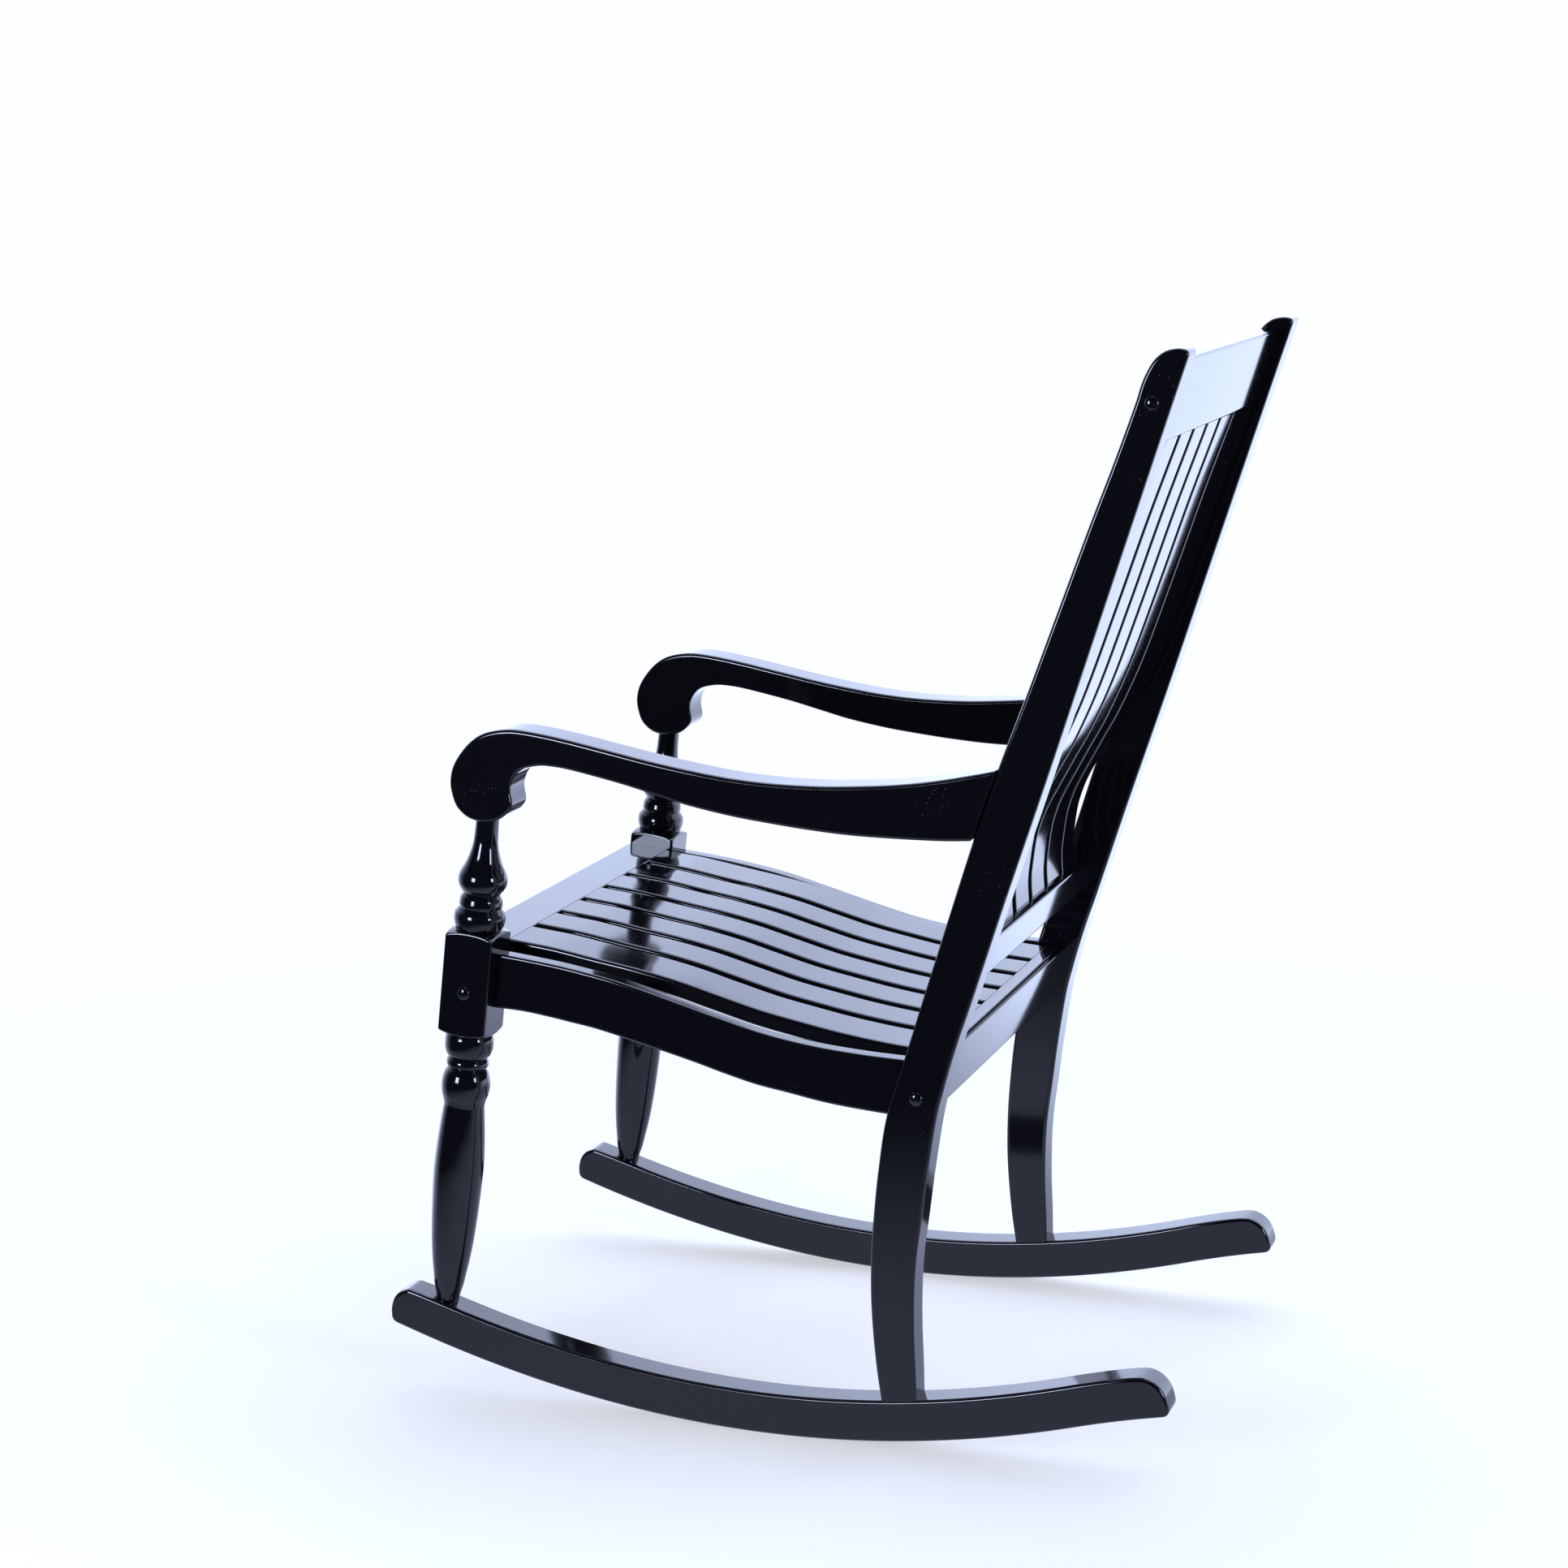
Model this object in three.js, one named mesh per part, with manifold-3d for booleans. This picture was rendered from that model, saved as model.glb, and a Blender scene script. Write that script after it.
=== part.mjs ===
import * as THREE from "three";
import { mergeVertices } from "three/addons/utils/BufferGeometryUtils.js";
import Module from "manifold-3d";

const wasm = await Module();
wasm.setup();

// Rocking chair. +X is the sitter's left, -Y the way the chair faces, +Z up, floor at Z = 0.
// Side profiles are drawn for the nominal chair, with y measured from the point of floor
// contact, and are stretched to LENGTH and HEIGHT.

// Overall sizes, mm
const WIDTH = 588; // over the outer faces of the rockers and rear posts
const LENGTH = 863; // along the rockers
const HEIGHT = 1149; // floor to the crown of the rear posts
const NOMINAL_LENGTH = 863;
const NOMINAL_HEIGHT = 1149;

// Side frames
const POST_THICK = 38; // rear posts, across the chair
const ROCKER_THICK = 38;
const ROCKER_DEPTH = 44.5;
const ROCKER_RADIUS = 1200; // of the floor curve, ahead of the point of contact
const TAIL_RADIUS = 1150; // and behind it
const ARM_WIDTH = 45;
const RAIL_THICK = 20;
const BLOCK = 54; // square part of the front posts
const EDGE = 4; // rounding of the long edges

// Seat and back
const SLATS = 7;
const SEAT_SLAT_THICK = 18;
const BACK_SLAT_THICK = 12;
const SLAT_GAP = 12;
const BOARD_THICK = 20;
const BOARD_RISE = 3; // the front board climbs towards its nose
const NOSE_ROUND = 8;
const APRON_THICK = 22; // rear apron, front to back
const LIP_DROP = 4; // top of the rear apron's lip, below the seat
const LIP_THICK = 5;
const LIP_ROUND = 1;
const FRONT_APRON_THICK = 24;
const FRONT_APRON_HEIGHT = 46;
const CREST_THICK = 22;
const LOWER_RAIL_THICK = 22;

// Joints
const GAP = 0.3; // between any two pieces that touch
const TENON_LENGTH = 22;
const TENON_THICK = 10;
const TENON_ROOT = 10; // overlap that joins a tenon to its own piece
const ROUND_TENON = 9; // radius
const HOUSING = 4; // how far a turned end is let into its neighbour
const TONGUE_THICK = 6;
const TONGUE_LENGTH = 8;
const TONGUE_INSET = 6; // at each side of a slat
const SLAT_HOUSING = 10; // back slats into the crest and the lower rail

// Bolts, one at each end of the crest and of both aprons, under domed plugs
const BOLT_RADIUS = 3;
const HEAD_RADIUS = 6;
const HEAD_HEIGHT = 6;
const BOLT_WALL = 3; // wood left between a bolt head and a tenon
const PLUG_RADIUS = 7.5;
const PLUG_DOME = 3.5;
const PLUG_DEPTH = 6;
const BOLT_REACH = 24; // shank beyond the inner face of the post
const NUT_RADIUS = 5;
const NUT_LENGTH = 16;
const NUT_SETBACK = 15; // barrel nut centre from the end of the rail

// Facets
const TURNED_SEGMENTS = 18;
const BLOCK_SEGMENTS = 20;
const ROD_SEGMENTS = 12;
const PLUG_SEGMENTS = 16;

const HALF = WIDTH / 2;
const POST_INNER = HALF - POST_THICK;
const FRAME_CENTRE = HALF - POST_THICK / 2; // middle plane of every piece of a side frame
const BLOCK_INNER = FRAME_CENTRE - BLOCK / 2;
const BLOCK_OUTER = FRAME_CENTRE + BLOCK / 2;
const FRAME_SHIFT = 3.5 * (LENGTH / NOMINAL_LENGTH); // centres the length on the origin

// Slats fill the space between the blocks, with a margin at each side. The two outer slats of
// the seat are wider on their outer side.
const SLAT_MARGIN = 15;
const OUTER_EXTRA = 10;
const SLAT_PITCH = (2 * (BLOCK_INNER - SLAT_MARGIN) + SLAT_GAP) / SLATS;
const SLAT_WIDTH = SLAT_PITCH - SLAT_GAP;
const SEAT_HALF = (SLATS * SLAT_PITCH - SLAT_GAP) / 2 + OUTER_EXTRA;

const lacquer = new THREE.MeshStandardMaterial({ color: 0x0b0b10, roughness: 0.12, metalness: 0 });
const steel = new THREE.MeshStandardMaterial({ color: 0x9a9da1, roughness: 0.35, metalness: 1 });

// ---------------------------------------------------------------- plane geometry helpers

// A nominal profile point in the real chair.
function at([y, z]) {
  return [(y * LENGTH) / NOMINAL_LENGTH, (z * HEIGHT) / NOMINAL_HEIGHT];
}

function smooth(points, count) {
  const curve = new THREE.SplineCurve(points.map(at).map(([y, z]) => new THREE.Vector2(y, z)));
  return curve.getSpacedPoints(count).map((p) => [p.x, p.y]);
}

// y of a line of points that climbs in z.
function yAt(line, z) {
  let i = 1;
  while (i < line.length - 1 && line[i][1] < z) i++;
  const [[y0, z0], [y1, z1]] = [line[i - 1], line[i]];
  return y0 + ((y1 - y0) * (z - z0)) / (z1 - z0);
}

// z of a line of points that runs along y.
function zAt(line, y) {
  return yAt(line.map(([a, b]) => [b, a]), y);
}

// A line moved to its left by a distance.
function offset(line, distance) {
  return line.map(([y, z], i) => {
    const [ya, za] = line[Math.max(i - 1, 0)];
    const [yb, zb] = line[Math.min(i + 1, line.length - 1)];
    const length = Math.hypot(yb - ya, zb - za);
    return [y - (distance * (zb - za)) / length, z + (distance * (yb - ya)) / length];
  });
}

function signedArea(outline) {
  return THREE.ShapeUtils.area(outline.map(([y, z]) => new THREE.Vector2(y, z)));
}

// An outline moved inwards, each corner along its bisector.
function inset(outline, distance) {
  const n = outline.length;
  return outline.map(([y, z], i) => {
    const [ya, za] = outline[(i + n - 1) % n];
    const [yb, zb] = outline[(i + 1) % n];
    const a = new THREE.Vector2(-(z - za), y - ya).normalize();
    const b = new THREE.Vector2(-(zb - z), yb - y).normalize();
    const k = distance / Math.max(1 + a.dot(b), 0.5);
    return [y + k * (a.x + b.x), z + k * (a.y + b.y)];
  });
}

// A polygon with its corners rounded.
function filleted(corners, radius, steps = 3) {
  const n = corners.length;
  return corners.flatMap(([y, z], i) => {
    const p = new THREE.Vector2(y, z);
    const a = new THREE.Vector2(...corners[(i + n - 1) % n]).sub(p).normalize();
    const b = new THREE.Vector2(...corners[(i + 1) % n]).sub(p).normalize();
    const reach = radius / Math.tan(a.angleTo(b) / 2);
    const curve = new THREE.QuadraticBezierCurve(
      p.clone().addScaledVector(a, reach),
      p,
      p.clone().addScaledVector(b, reach),
    );
    return curve.getPoints(steps).map((q) => [q.x, q.y]);
  });
}

// ---------------------------------------------------------------- solids

function toSolid(geometry) {
  const bare = new THREE.BufferGeometry();
  bare.setAttribute("position", geometry.getAttribute("position"));
  bare.setIndex(geometry.index);
  const merged = mergeVertices(bare, 1e-4);
  const mesh = new wasm.Mesh({
    numProp: 3,
    vertProperties: new Float32Array(merged.attributes.position.array),
    triVerts: new Uint32Array(merged.index.array),
  });
  return new wasm.Manifold(mesh);
}

function toMesh(name, solid, material = lacquer) {
  const data = solid.getMesh();
  const geometry = new THREE.BufferGeometry();
  geometry.setAttribute("position", new THREE.BufferAttribute(data.vertProperties, 3));
  geometry.setIndex(new THREE.BufferAttribute(data.triVerts, 1));
  const mesh = new THREE.Mesh(geometry.toNonIndexed(), material);
  mesh.geometry.computeVertexNormals();
  mesh.name = name;
  return mesh;
}

// A board whose side outline lies in YZ and whose thickness runs from xa to xb, with its
// long edges rounded in a number of steps.
function board(outline, xa, xb, round = 0, edgeSteps = 2) {
  const shape = signedArea(outline) < 0 ? [...outline].reverse() : outline;
  const [low, high] = [Math.min(xa, xb), Math.max(xa, xb)];
  const steps = round > 0 ? edgeSteps : 0;
  const rings = [];
  for (let k = 0; k <= steps; k++) {
    const angle = steps ? ((Math.PI / 2) * k) / steps : Math.PI / 2;
    rings.push({
      ring: inset(shape, round * (1 - Math.sin(angle))),
      depth: steps ? round * (1 - Math.cos(angle)) : 0,
    });
  }
  const layers = [
    ...rings.map(({ ring, depth }) => ring.map(([y, z]) => [low + depth, y, z])),
    ...[...rings].reverse().map(({ ring, depth }) => ring.map(([y, z]) => [high - depth, y, z])),
  ];
  return toSolid(skinned(layers));
}

// A closed skin over a stack of equal rings, capped at both ends.
function skinned(layers) {
  const n = layers[0].length;
  const index = [];
  for (let k = 0; k + 1 < layers.length; k++) {
    for (let i = 0; i < n; i++) {
      const [a, b] = [k * n + i, k * n + ((i + 1) % n)];
      index.push(a, b, b + n, a, b + n, a + n);
    }
  }
  const last = (layers.length - 1) * n;
  const cap = THREE.ShapeUtils.triangulateShape(
    layers[0].map(([, y, z]) => new THREE.Vector2(y, z)),
    [],
  );
  for (const [a, b, c] of cap) {
    index.push(c, b, a, last + a, last + b, last + c);
  }
  const geometry = new THREE.BufferGeometry();
  geometry.setAttribute("position", new THREE.Float32BufferAttribute(layers.flat(2), 3));
  geometry.setIndex(index);
  return geometry;
}

function box([xa, xb], [ya, yb], [za, zb]) {
  const geometry = new THREE.BoxGeometry(Math.abs(xb - xa), Math.abs(yb - ya), Math.abs(zb - za));
  geometry.translate((xa + xb) / 2, (ya + yb) / 2, (za + zb) / 2);
  return toSolid(geometry);
}

// A turned solid about +X, from a profile of [radius, x] that starts and ends on the axis.
function turnedAlongX(profile, y, z, segments = ROD_SEGMENTS) {
  const geometry = new THREE.LatheGeometry(
    profile.map(([r, x]) => new THREE.Vector2(r, x)),
    segments,
  );
  geometry.rotateZ(-Math.PI / 2);
  geometry.translate(0, y, z);
  return toSolid(geometry);
}

function rodAlongX(radius, xa, xb, y, z, segments) {
  const [low, high] = [Math.min(xa, xb), Math.max(xa, xb)];
  const profile = [[0, low], [radius, low], [radius, high], [0, high]];
  return turnedAlongX(profile, y, z, segments);
}

// ---------------------------------------------------------------- side profiles

// Rocker: a parabola that touches the floor at y = 0 on a short flat, eased out towards
// both ends.
const CONTACT_FLAT = 24;
const TIP_EASE = 6e-11;
const TAIL_START = 330;
const TAIL_EASE = 0.0005;

function floorCurve(y) {
  if (y < 0) {
    return y ** 2 / (2 * ROCKER_RADIUS) - TIP_EASE * y ** 4;
  }
  const arc = Math.min(y, TAIL_START);
  const tail = y - arc;
  return arc ** 2 / (2 * TAIL_RADIUS) + (tail * arc) / TAIL_RADIUS - TAIL_EASE * tail ** 2;
}

function rockerBottom() {
  const half = CONTACT_FLAT / 2;
  const steps = Array.from({ length: 14 }, (_, i) => 30 * (i + 1));
  const ahead = steps.map((y) => -y).reverse();
  return [...ahead, -half, half, ...steps].map((y) => {
    const lift = Math.abs(y) > half ? floorCurve(y) : 0;
    return at([y, lift]);
  });
}

const ROCKER_TIP = [[-410, 113.5], [-418, 113], [-426, 109.5], [-432, 102], [-435, 91],
  [-435, 78], [-432.5, 74.5]].map(at);
const ROCKER_HEEL = [[426, 71], [428, 75], [427, 83], [423, 94], [416, 102.5], [407, 107.5],
  [396, 108.8]].map(at);
const bottomLine = rockerBottom();
const topLine = offset(bottomLine, ROCKER_DEPTH).filter(([y]) => y < ROCKER_HEEL.at(-1)[0] - 6);

// Rear post edges, from the rocker up.
const POST_FRONT = [[124, 46], [118, 84], [113.5, 125], [111, 165], [111, 205], [113, 245],
  [118, 300], [127, 361], [147, 427], [168, 497], [192, 577], [216, 655], [240, 727], [267, 800],
  [298, 887], [329, 974], [352, 1036], [372, 1093], [378, 1113], [384, 1127], [391, 1138],
  [401, 1146], [412, 1149]];
const POST_REAR = [[161, 46], [160, 84], [158, 130], [158, 175], [160, 210], [165, 250],
  [171, 300], [180, 360], [187, 390], [195, 420], [204, 450], [214, 480], [233, 540], [252, 600],
  [291, 720], [329, 840], [367, 960], [405, 1080], [425.5, 1146]];
const postFront = smooth(POST_FRONT, 28);
const postRear = smooth(POST_REAR, 20);

// Seat surface from the front edge of the seat to its back edge.
const SEAT_TOP = [[-310, 502], [-258, 496], [-211, 488], [-165, 480.5], [-119, 471], [-74, 459],
  [-28, 447], [17, 438], [62, 430], [111, 423.5], [159, 419.5], [174, 419]];
const seatTop = SEAT_TOP.map(at);
const SEAT_FRONT_Y = at([-368, 0])[0];
const SLAT_START_Y = at([-310, 0])[0];
const SLAT_END_Y = at([159, 0])[0];
const SEAT_BACK_Y = at([174, 0])[0];

// Rear faces of the cross rails, from the underside up: each leans with the posts.
const APRON_REAR = [[157.5, 346.5], [178, 415]].map(at);
const LOWER_RAIL_REAR = [[187.5, 474], [202, 520]].map(at);
const CREST_REAR = [[383, 1050], [410, 1135.5]].map(at);

// Rear face of the back slats, from the lower rail up: a lumbar bulge, then a straight rake.
const BACK_SLAT_REAR = [[197, 500], [193.5, 521], [192, 545], [194, 567], [197.5, 591],
  [203, 610], [210, 627], [222, 650], [239, 682], [258, 718], [283, 777], [315, 869], [346, 961],
  [377.5, 1049], [381, 1060]];

// ---------------------------------------------------------------- front post

// Turned sections as [radius, height]. Radii are true sizes, heights are nominal.
const LEG_TURNING = [[13, 104], [17.4, 126], [21.4, 153], [24.4, 187], [26.3, 223],
  [27, 246], [26.5, 268], [24.6, 300], [22, 325], [24.8, 336], [26.6, 347], [25.2, 357],
  [21.6, 366], [23, 372], [22, 377.5], [24.9, 383], [26.5, 393.5], [24.5, 404]];
const ARM_POST_TURNING = [[24, 519], [27.2, 526], [28, 532], [26.2, 539], [22.6, 544],
  [23.3, 547.5], [22.3, 553], [20.2, 558.5], [24.6, 565.5], [26.6, 573.5], [24.4, 583],
  [19.8, 591], [16.2, 600], [14.2, 609], [12.7, 628]];
const BLOCK_BOTTOM = 405.5;
const BLOCK_TOP = 519.5;
const SHOULDER = [[24, 0], [27, 0.6], [31, 1.8], [35, 3.4], [BLOCK / Math.SQRT2 + 0.6, 5.4]];
const LEG_FOOT = at([-375.2, 103]);
const LEG_TOP = at([-318.6, 641]);
const LEAN = Math.atan2(LEG_TOP[0] - LEG_FOOT[0], LEG_TOP[1] - LEG_FOOT[1]);

function legAxisY(z) {
  return LEG_FOOT[0] + (z - LEG_FOOT[1]) * Math.tan(LEAN);
}

// Height as drawn, to a length along the leaning axis.
function along(height) {
  return at([0, height])[1] / Math.cos(LEAN);
}

// A turned solid about the leaning axis of the front post.
function turnedOnLeg(profile, side, segments = TURNED_SEGMENTS) {
  const geometry = new THREE.LatheGeometry(
    profile.map(([r, s]) => new THREE.Vector2(r, s)),
    segments,
  );
  geometry.rotateX(Math.PI / 2);
  geometry.rotateX(-LEAN);
  geometry.translate(side * FRAME_CENTRE, legAxisY(0), 0);
  return toSolid(geometry);
}

// The two ends that are let into the rocker and the arm, grown by a clearance.
function legFootEnd(side, grow) {
  const shoulder = along(104) - HOUSING;
  const [base, next] = LEG_TURNING;
  const profile = [
    [0, shoulder - TENON_LENGTH - grow],
    [ROUND_TENON + grow, shoulder - TENON_LENGTH - grow],
    [ROUND_TENON + grow, shoulder - grow],
    [base[0] + grow, shoulder - grow],
    [base[0] + grow, along(base[1])],
    [next[0] + grow, along(next[1])],
    [0, along(next[1])],
  ];
  return turnedOnLeg(profile, side);
}

function legTopEnd(side, grow) {
  const shoulder = along(641) + HOUSING;
  const radius = ARM_POST_TURNING.at(-1)[0];
  const profile = [
    [0, along(620)],
    [radius + grow, along(620)],
    [radius + grow, shoulder + grow],
    [ROUND_TENON + grow, shoulder + grow],
    [ROUND_TENON + grow, shoulder + TENON_LENGTH + grow],
    [0, shoulder + TENON_LENGTH + grow],
  ];
  return turnedOnLeg(profile, side);
}

function turnedPost(side) {
  const foot = along(104) - HOUSING;
  const top = along(641) + HOUSING;
  const profile = [
    [0, foot - TENON_LENGTH],
    [ROUND_TENON, foot - TENON_LENGTH],
    [ROUND_TENON, foot],
    [LEG_TURNING[0][0], foot],
    ...LEG_TURNING.map(([r, h]) => [r, along(h)]),
    [SHOULDER[0][0] - 1, along(BLOCK_BOTTOM + 2)],
    [SHOULDER[0][0] - 1, along(BLOCK_TOP - 2)],
    ...ARM_POST_TURNING.map(([r, h]) => [r, along(h)]),
    [ARM_POST_TURNING.at(-1)[0], top],
    [ROUND_TENON, top],
    [ROUND_TENON, top + TENON_LENGTH],
    [0, top + TENON_LENGTH],
  ];
  return turnedOnLeg(profile, side);
}

function postBlock(side) {
  const [low, high] = [along(BLOCK_BOTTOM), along(BLOCK_TOP)];
  const h = BLOCK / 2;
  const square = filleted([[-h, -h], [h, -h], [h, h], [-h, h]], 2.5, 1);
  const prism = orientedPrism(square, low, high, side);
  const barrel = [
    [0, low],
    ...SHOULDER.map(([r, drop]) => [r, low + drop]),
    ...[...SHOULDER].reverse().map(([r, drop]) => [r, high - drop]),
    [0, high],
  ];
  return prism.intersect(turnedOnLeg(barrel, side, BLOCK_SEGMENTS));
}

// A prism on the leaning axis: the square lies across the axis.
function orientedPrism(square, low, high, side) {
  const shape = new THREE.Shape(square.map(([x, y]) => new THREE.Vector2(x, y)));
  const geometry = new THREE.ExtrudeGeometry(shape, { depth: high - low, bevelEnabled: false });
  geometry.translate(0, 0, low);
  geometry.rotateX(-LEAN);
  geometry.translate(side * FRAME_CENTRE, legAxisY(0), 0);
  return toSolid(geometry);
}

// y of the block's back or front face at a height: way is +1 for the back face.
function blockFaceY(z, way) {
  return legAxisY(z) + (way * BLOCK) / 2 / Math.cos(LEAN);
}

// ---------------------------------------------------------------- bolted joints

const BOLT_AT = {
  crest: at([390, 1096]),
  front: [legAxisY(at([0, 454])[1]), at([0, 454])[1]],
  rear: at([159, 381]),
};

// Lean and underside of the rail at each joint.
const RAIL_LEAN = { crest: leanOf(CREST_REAR), front: LEAN, rear: leanOf(APRON_REAR) };
const RAIL_UNDER = {
  crest: CREST_REAR[0][1],
  front: BOLT_AT.front[1] - FRONT_APRON_HEIGHT / 2,
  rear: APRON_REAR[0][1],
};

function leanOf([[ya, za], [yb, zb]]) {
  return Math.atan2(yb - ya, zb - za);
}

// Outer face that a bolt's plug sits in.
function boltFace(joint) {
  return joint === "front" ? BLOCK_OUTER : HALF;
}

// Inner face that the rail butts against.
function railFace(joint) {
  return joint === "front" ? BLOCK_INNER : POST_INNER;
}

function boltProfile(joint, grow) {
  const head = boltFace(joint) - PLUG_DEPTH - GAP;
  const end = railFace(joint) - BOLT_REACH;
  return [
    [0, end - grow],
    [BOLT_RADIUS + grow, end - grow],
    [BOLT_RADIUS + grow, head - HEAD_HEIGHT - grow],
    [HEAD_RADIUS + grow, head - HEAD_HEIGHT - grow],
    [HEAD_RADIUS + grow, head + grow],
    [0, head + grow],
  ];
}

function sided(profile, side) {
  return side > 0 ? profile : profile.map(([r, x]) => [r, -x]).reverse();
}

function bolt(joint, side) {
  const [y, z] = BOLT_AT[joint];
  return turnedAlongX(sided(boltProfile(joint, 0), side), y, z);
}

// Everything a bolt and its plug need cut away.
function boltHole(joint, side) {
  const [y, z] = BOLT_AT[joint];
  const face = boltFace(joint);
  const shank = turnedAlongX(sided(boltProfile(joint, GAP), side), y, z);
  const [low, high] = [side * (face - PLUG_DEPTH), side * (face + 5)];
  const socket = rodAlongX(PLUG_RADIUS - 1 + GAP, low, high, y, z, PLUG_SEGMENTS);
  return shank.add(socket);
}

function plug(joint, side) {
  const [y, z] = BOLT_AT[joint];
  const face = boltFace(joint);
  const dome = [0.99, 0.8, 0.45].map((k) => [
    PLUG_RADIUS * k,
    face + GAP + PLUG_DOME * Math.sqrt(1 - k * k),
  ]);
  const profile = [
    [0, face - PLUG_DEPTH + GAP],
    [PLUG_RADIUS - 1, face - PLUG_DEPTH + GAP],
    [PLUG_RADIUS - 1, face + GAP],
    ...dome,
    [0, face + GAP + PLUG_DOME],
  ];
  return turnedAlongX(sided(profile, side), y, z, PLUG_SEGMENTS);
}

// A rod on the axis of a barrel nut, which crosses its bolt and leans with the rail.
function nutRod(joint, side, radius, [low, high]) {
  const [y, z] = BOLT_AT[joint];
  const geometry = new THREE.CylinderGeometry(radius, radius, high - low, ROD_SEGMENTS);
  geometry.translate(0, (low + high) / 2, 0);
  geometry.rotateX(Math.PI / 2 - RAIL_LEAN[joint]);
  geometry.translate(side * (railFace(joint) - NUT_SETBACK), y, z);
  return toSolid(geometry);
}

// Barrel nut: takes the end of the bolt.
function nut(joint, side) {
  const body = nutRod(joint, side, NUT_RADIUS, [-NUT_LENGTH / 2, NUT_LENGTH / 2]);
  return body.subtract(boltHole(joint, side));
}

// Nut pocket, open at the underside of the rail so that the nut can be pushed in.
function nutPocket(joint, side) {
  const reach = (BOLT_AT[joint][1] - RAIL_UNDER[joint]) / Math.cos(RAIL_LEAN[joint]);
  const ends = [-reach - NUT_RADIUS, NUT_LENGTH / 2 + GAP];
  return nutRod(joint, side, NUT_RADIUS + GAP, ends);
}

// A cross rail with its bolt holes and nut pockets.
function bored(rail, joint) {
  let result = rail;
  for (const side of [1, -1]) {
    result = result.subtract(boltHole(joint, side)).subtract(nutPocket(joint, side));
  }
  return result;
}

// ---------------------------------------------------------------- side frame pieces

// Straight tenon along Y, between two stations and two heights.
function flatTenon(x, [ya, yb], [za, zb], grow = 0) {
  const half = TENON_THICK / 2 + grow;
  return box([x - half, x + half], [ya - grow, yb + grow], [za - grow, zb + grow]);
}

// Foot of the rear post, where it stands on the rocker.
function footLine() {
  const z0 = zAt(topLine, at([124, 0])[0]) + GAP;
  const z1 = zAt(topLine, at([161, 0])[0]) + GAP;
  return [[at([124, 0])[0] - 2, z0], [at([161, 0])[0] + 2, z1]];
}

function footTenon(side, grow) {
  const [[ya, za], [yb]] = footLine();
  const ends = [ya + TENON_ROOT, yb - TENON_ROOT];
  return flatTenon(side * FRAME_CENTRE, ends, [za - TENON_LENGTH, za + TENON_ROOT], grow);
}

function rocker(side) {
  const [foot0, foot1] = footLine().map(([y, z]) => [y, z - GAP]);
  const top = topLine.filter(([y]) => y < foot0[0] - 4 || y > foot1[0] + 4);
  const outline = [...ROCKER_TIP, ...bottomLine, ...ROCKER_HEEL];
  const behind = top.filter(([y]) => y > foot1[0]).reverse();
  const ahead = top.filter(([y]) => y < foot0[0]).reverse();
  outline.push(...behind, foot1, foot0, ...ahead);
  const inner = FRAME_CENTRE - ROCKER_THICK / 2;
  const body = board(outline, side * inner, side * (inner + ROCKER_THICK), EDGE);
  return body.subtract(footTenon(side, GAP)).subtract(legFootEnd(side, GAP));
}

function frontPost(side) {
  const post = turnedPost(side).add(postBlock(side));
  return post.subtract(boltHole("front", side)).subtract(railTenon(side, "front", GAP));
}

function postOutline() {
  const [foot0, foot1] = footLine();
  const front = postFront.filter(([, z]) => z > foot0[1] + 6);
  const rear = postRear.filter(([, z]) => z > foot1[1] + 6).reverse();
  const start = [yAt(postFront, foot0[1]), foot0[1]];
  const end = [yAt(postRear, foot1[1]), foot1[1]];
  return [start, ...front, ...rear, end];
}

function rearPost(side) {
  const body = board(postOutline(), side * HALF, side * POST_INNER, EDGE);
  return body
    .add(footTenon(side, 0))
    .subtract(boltHole("crest", side))
    .subtract(boltHole("rear", side))
    .subtract(railTenon(side, "rear", GAP))
    .subtract(armTenon(side, GAP))
    .subtract(lowerRailTenon(side, GAP));
}

// Side rail: follows the dip of the seat.
const RAIL_TOP = [[-299, 495], [-262, 491], [-225, 486], [-171, 476], [-116, 461.5], [-63, 447],
  [-9, 433.5], [44, 425], [97, 420.5], [145, 418.5]];
const RAIL_BOTTOM = [[-330, 437], [-282, 435], [-252, 431.5], [-223, 427], [-193, 422],
  [-150, 412], [-90, 397], [-54, 387], [-18, 378], [18, 372], [53, 366], [88, 362], [140, 358]];

function railOutline() {
  const top = smooth([[-330, 497.5], ...RAIL_TOP], 18);
  const bottom = smooth(RAIL_BOTTOM, 18);
  const frontCut = (z) => blockFaceY(z, 1) + GAP;
  const rearCut = (z) => yAt(postFront, z) - GAP;
  const inside = ([y, z]) => y > frontCut(z) + 5 && y < rearCut(z) - 5;
  const ends = [top, bottom].map((line) => [
    onLine(line, frontCut),
    ...line.filter(inside),
    onLine(line, rearCut),
  ]);
  const [upper, lower] = ends;
  return [...lower, ...alongPost(lower.at(-1)[1], upper.at(-1)[1]), ...[...upper].reverse()];
}

// The stretch of the rear post's front edge between two heights, a clearance ahead of it.
function alongPost(low, high) {
  const clear = EDGE + 2;
  const stretch = postFront.filter(([, z]) => z > low + clear && z < high - clear);
  return stretch.map(([y, z]) => [y - GAP, z]);
}

// Where a line that runs along y meets a cut given as y of z.
function onLine(line, cut) {
  let z = line[0][1];
  for (let i = 0; i < 12; i++) {
    z = zAt(line, cut(z));
  }
  return [cut(z), z];
}

// Height range of the tenon at each end of a side rail.
const RAIL_JOINT = {
  front: [at([0, 447])[1], at([0, 483])[1]],
  rear: [at([0, 372])[1], at([0, 406])[1]],
};

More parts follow.
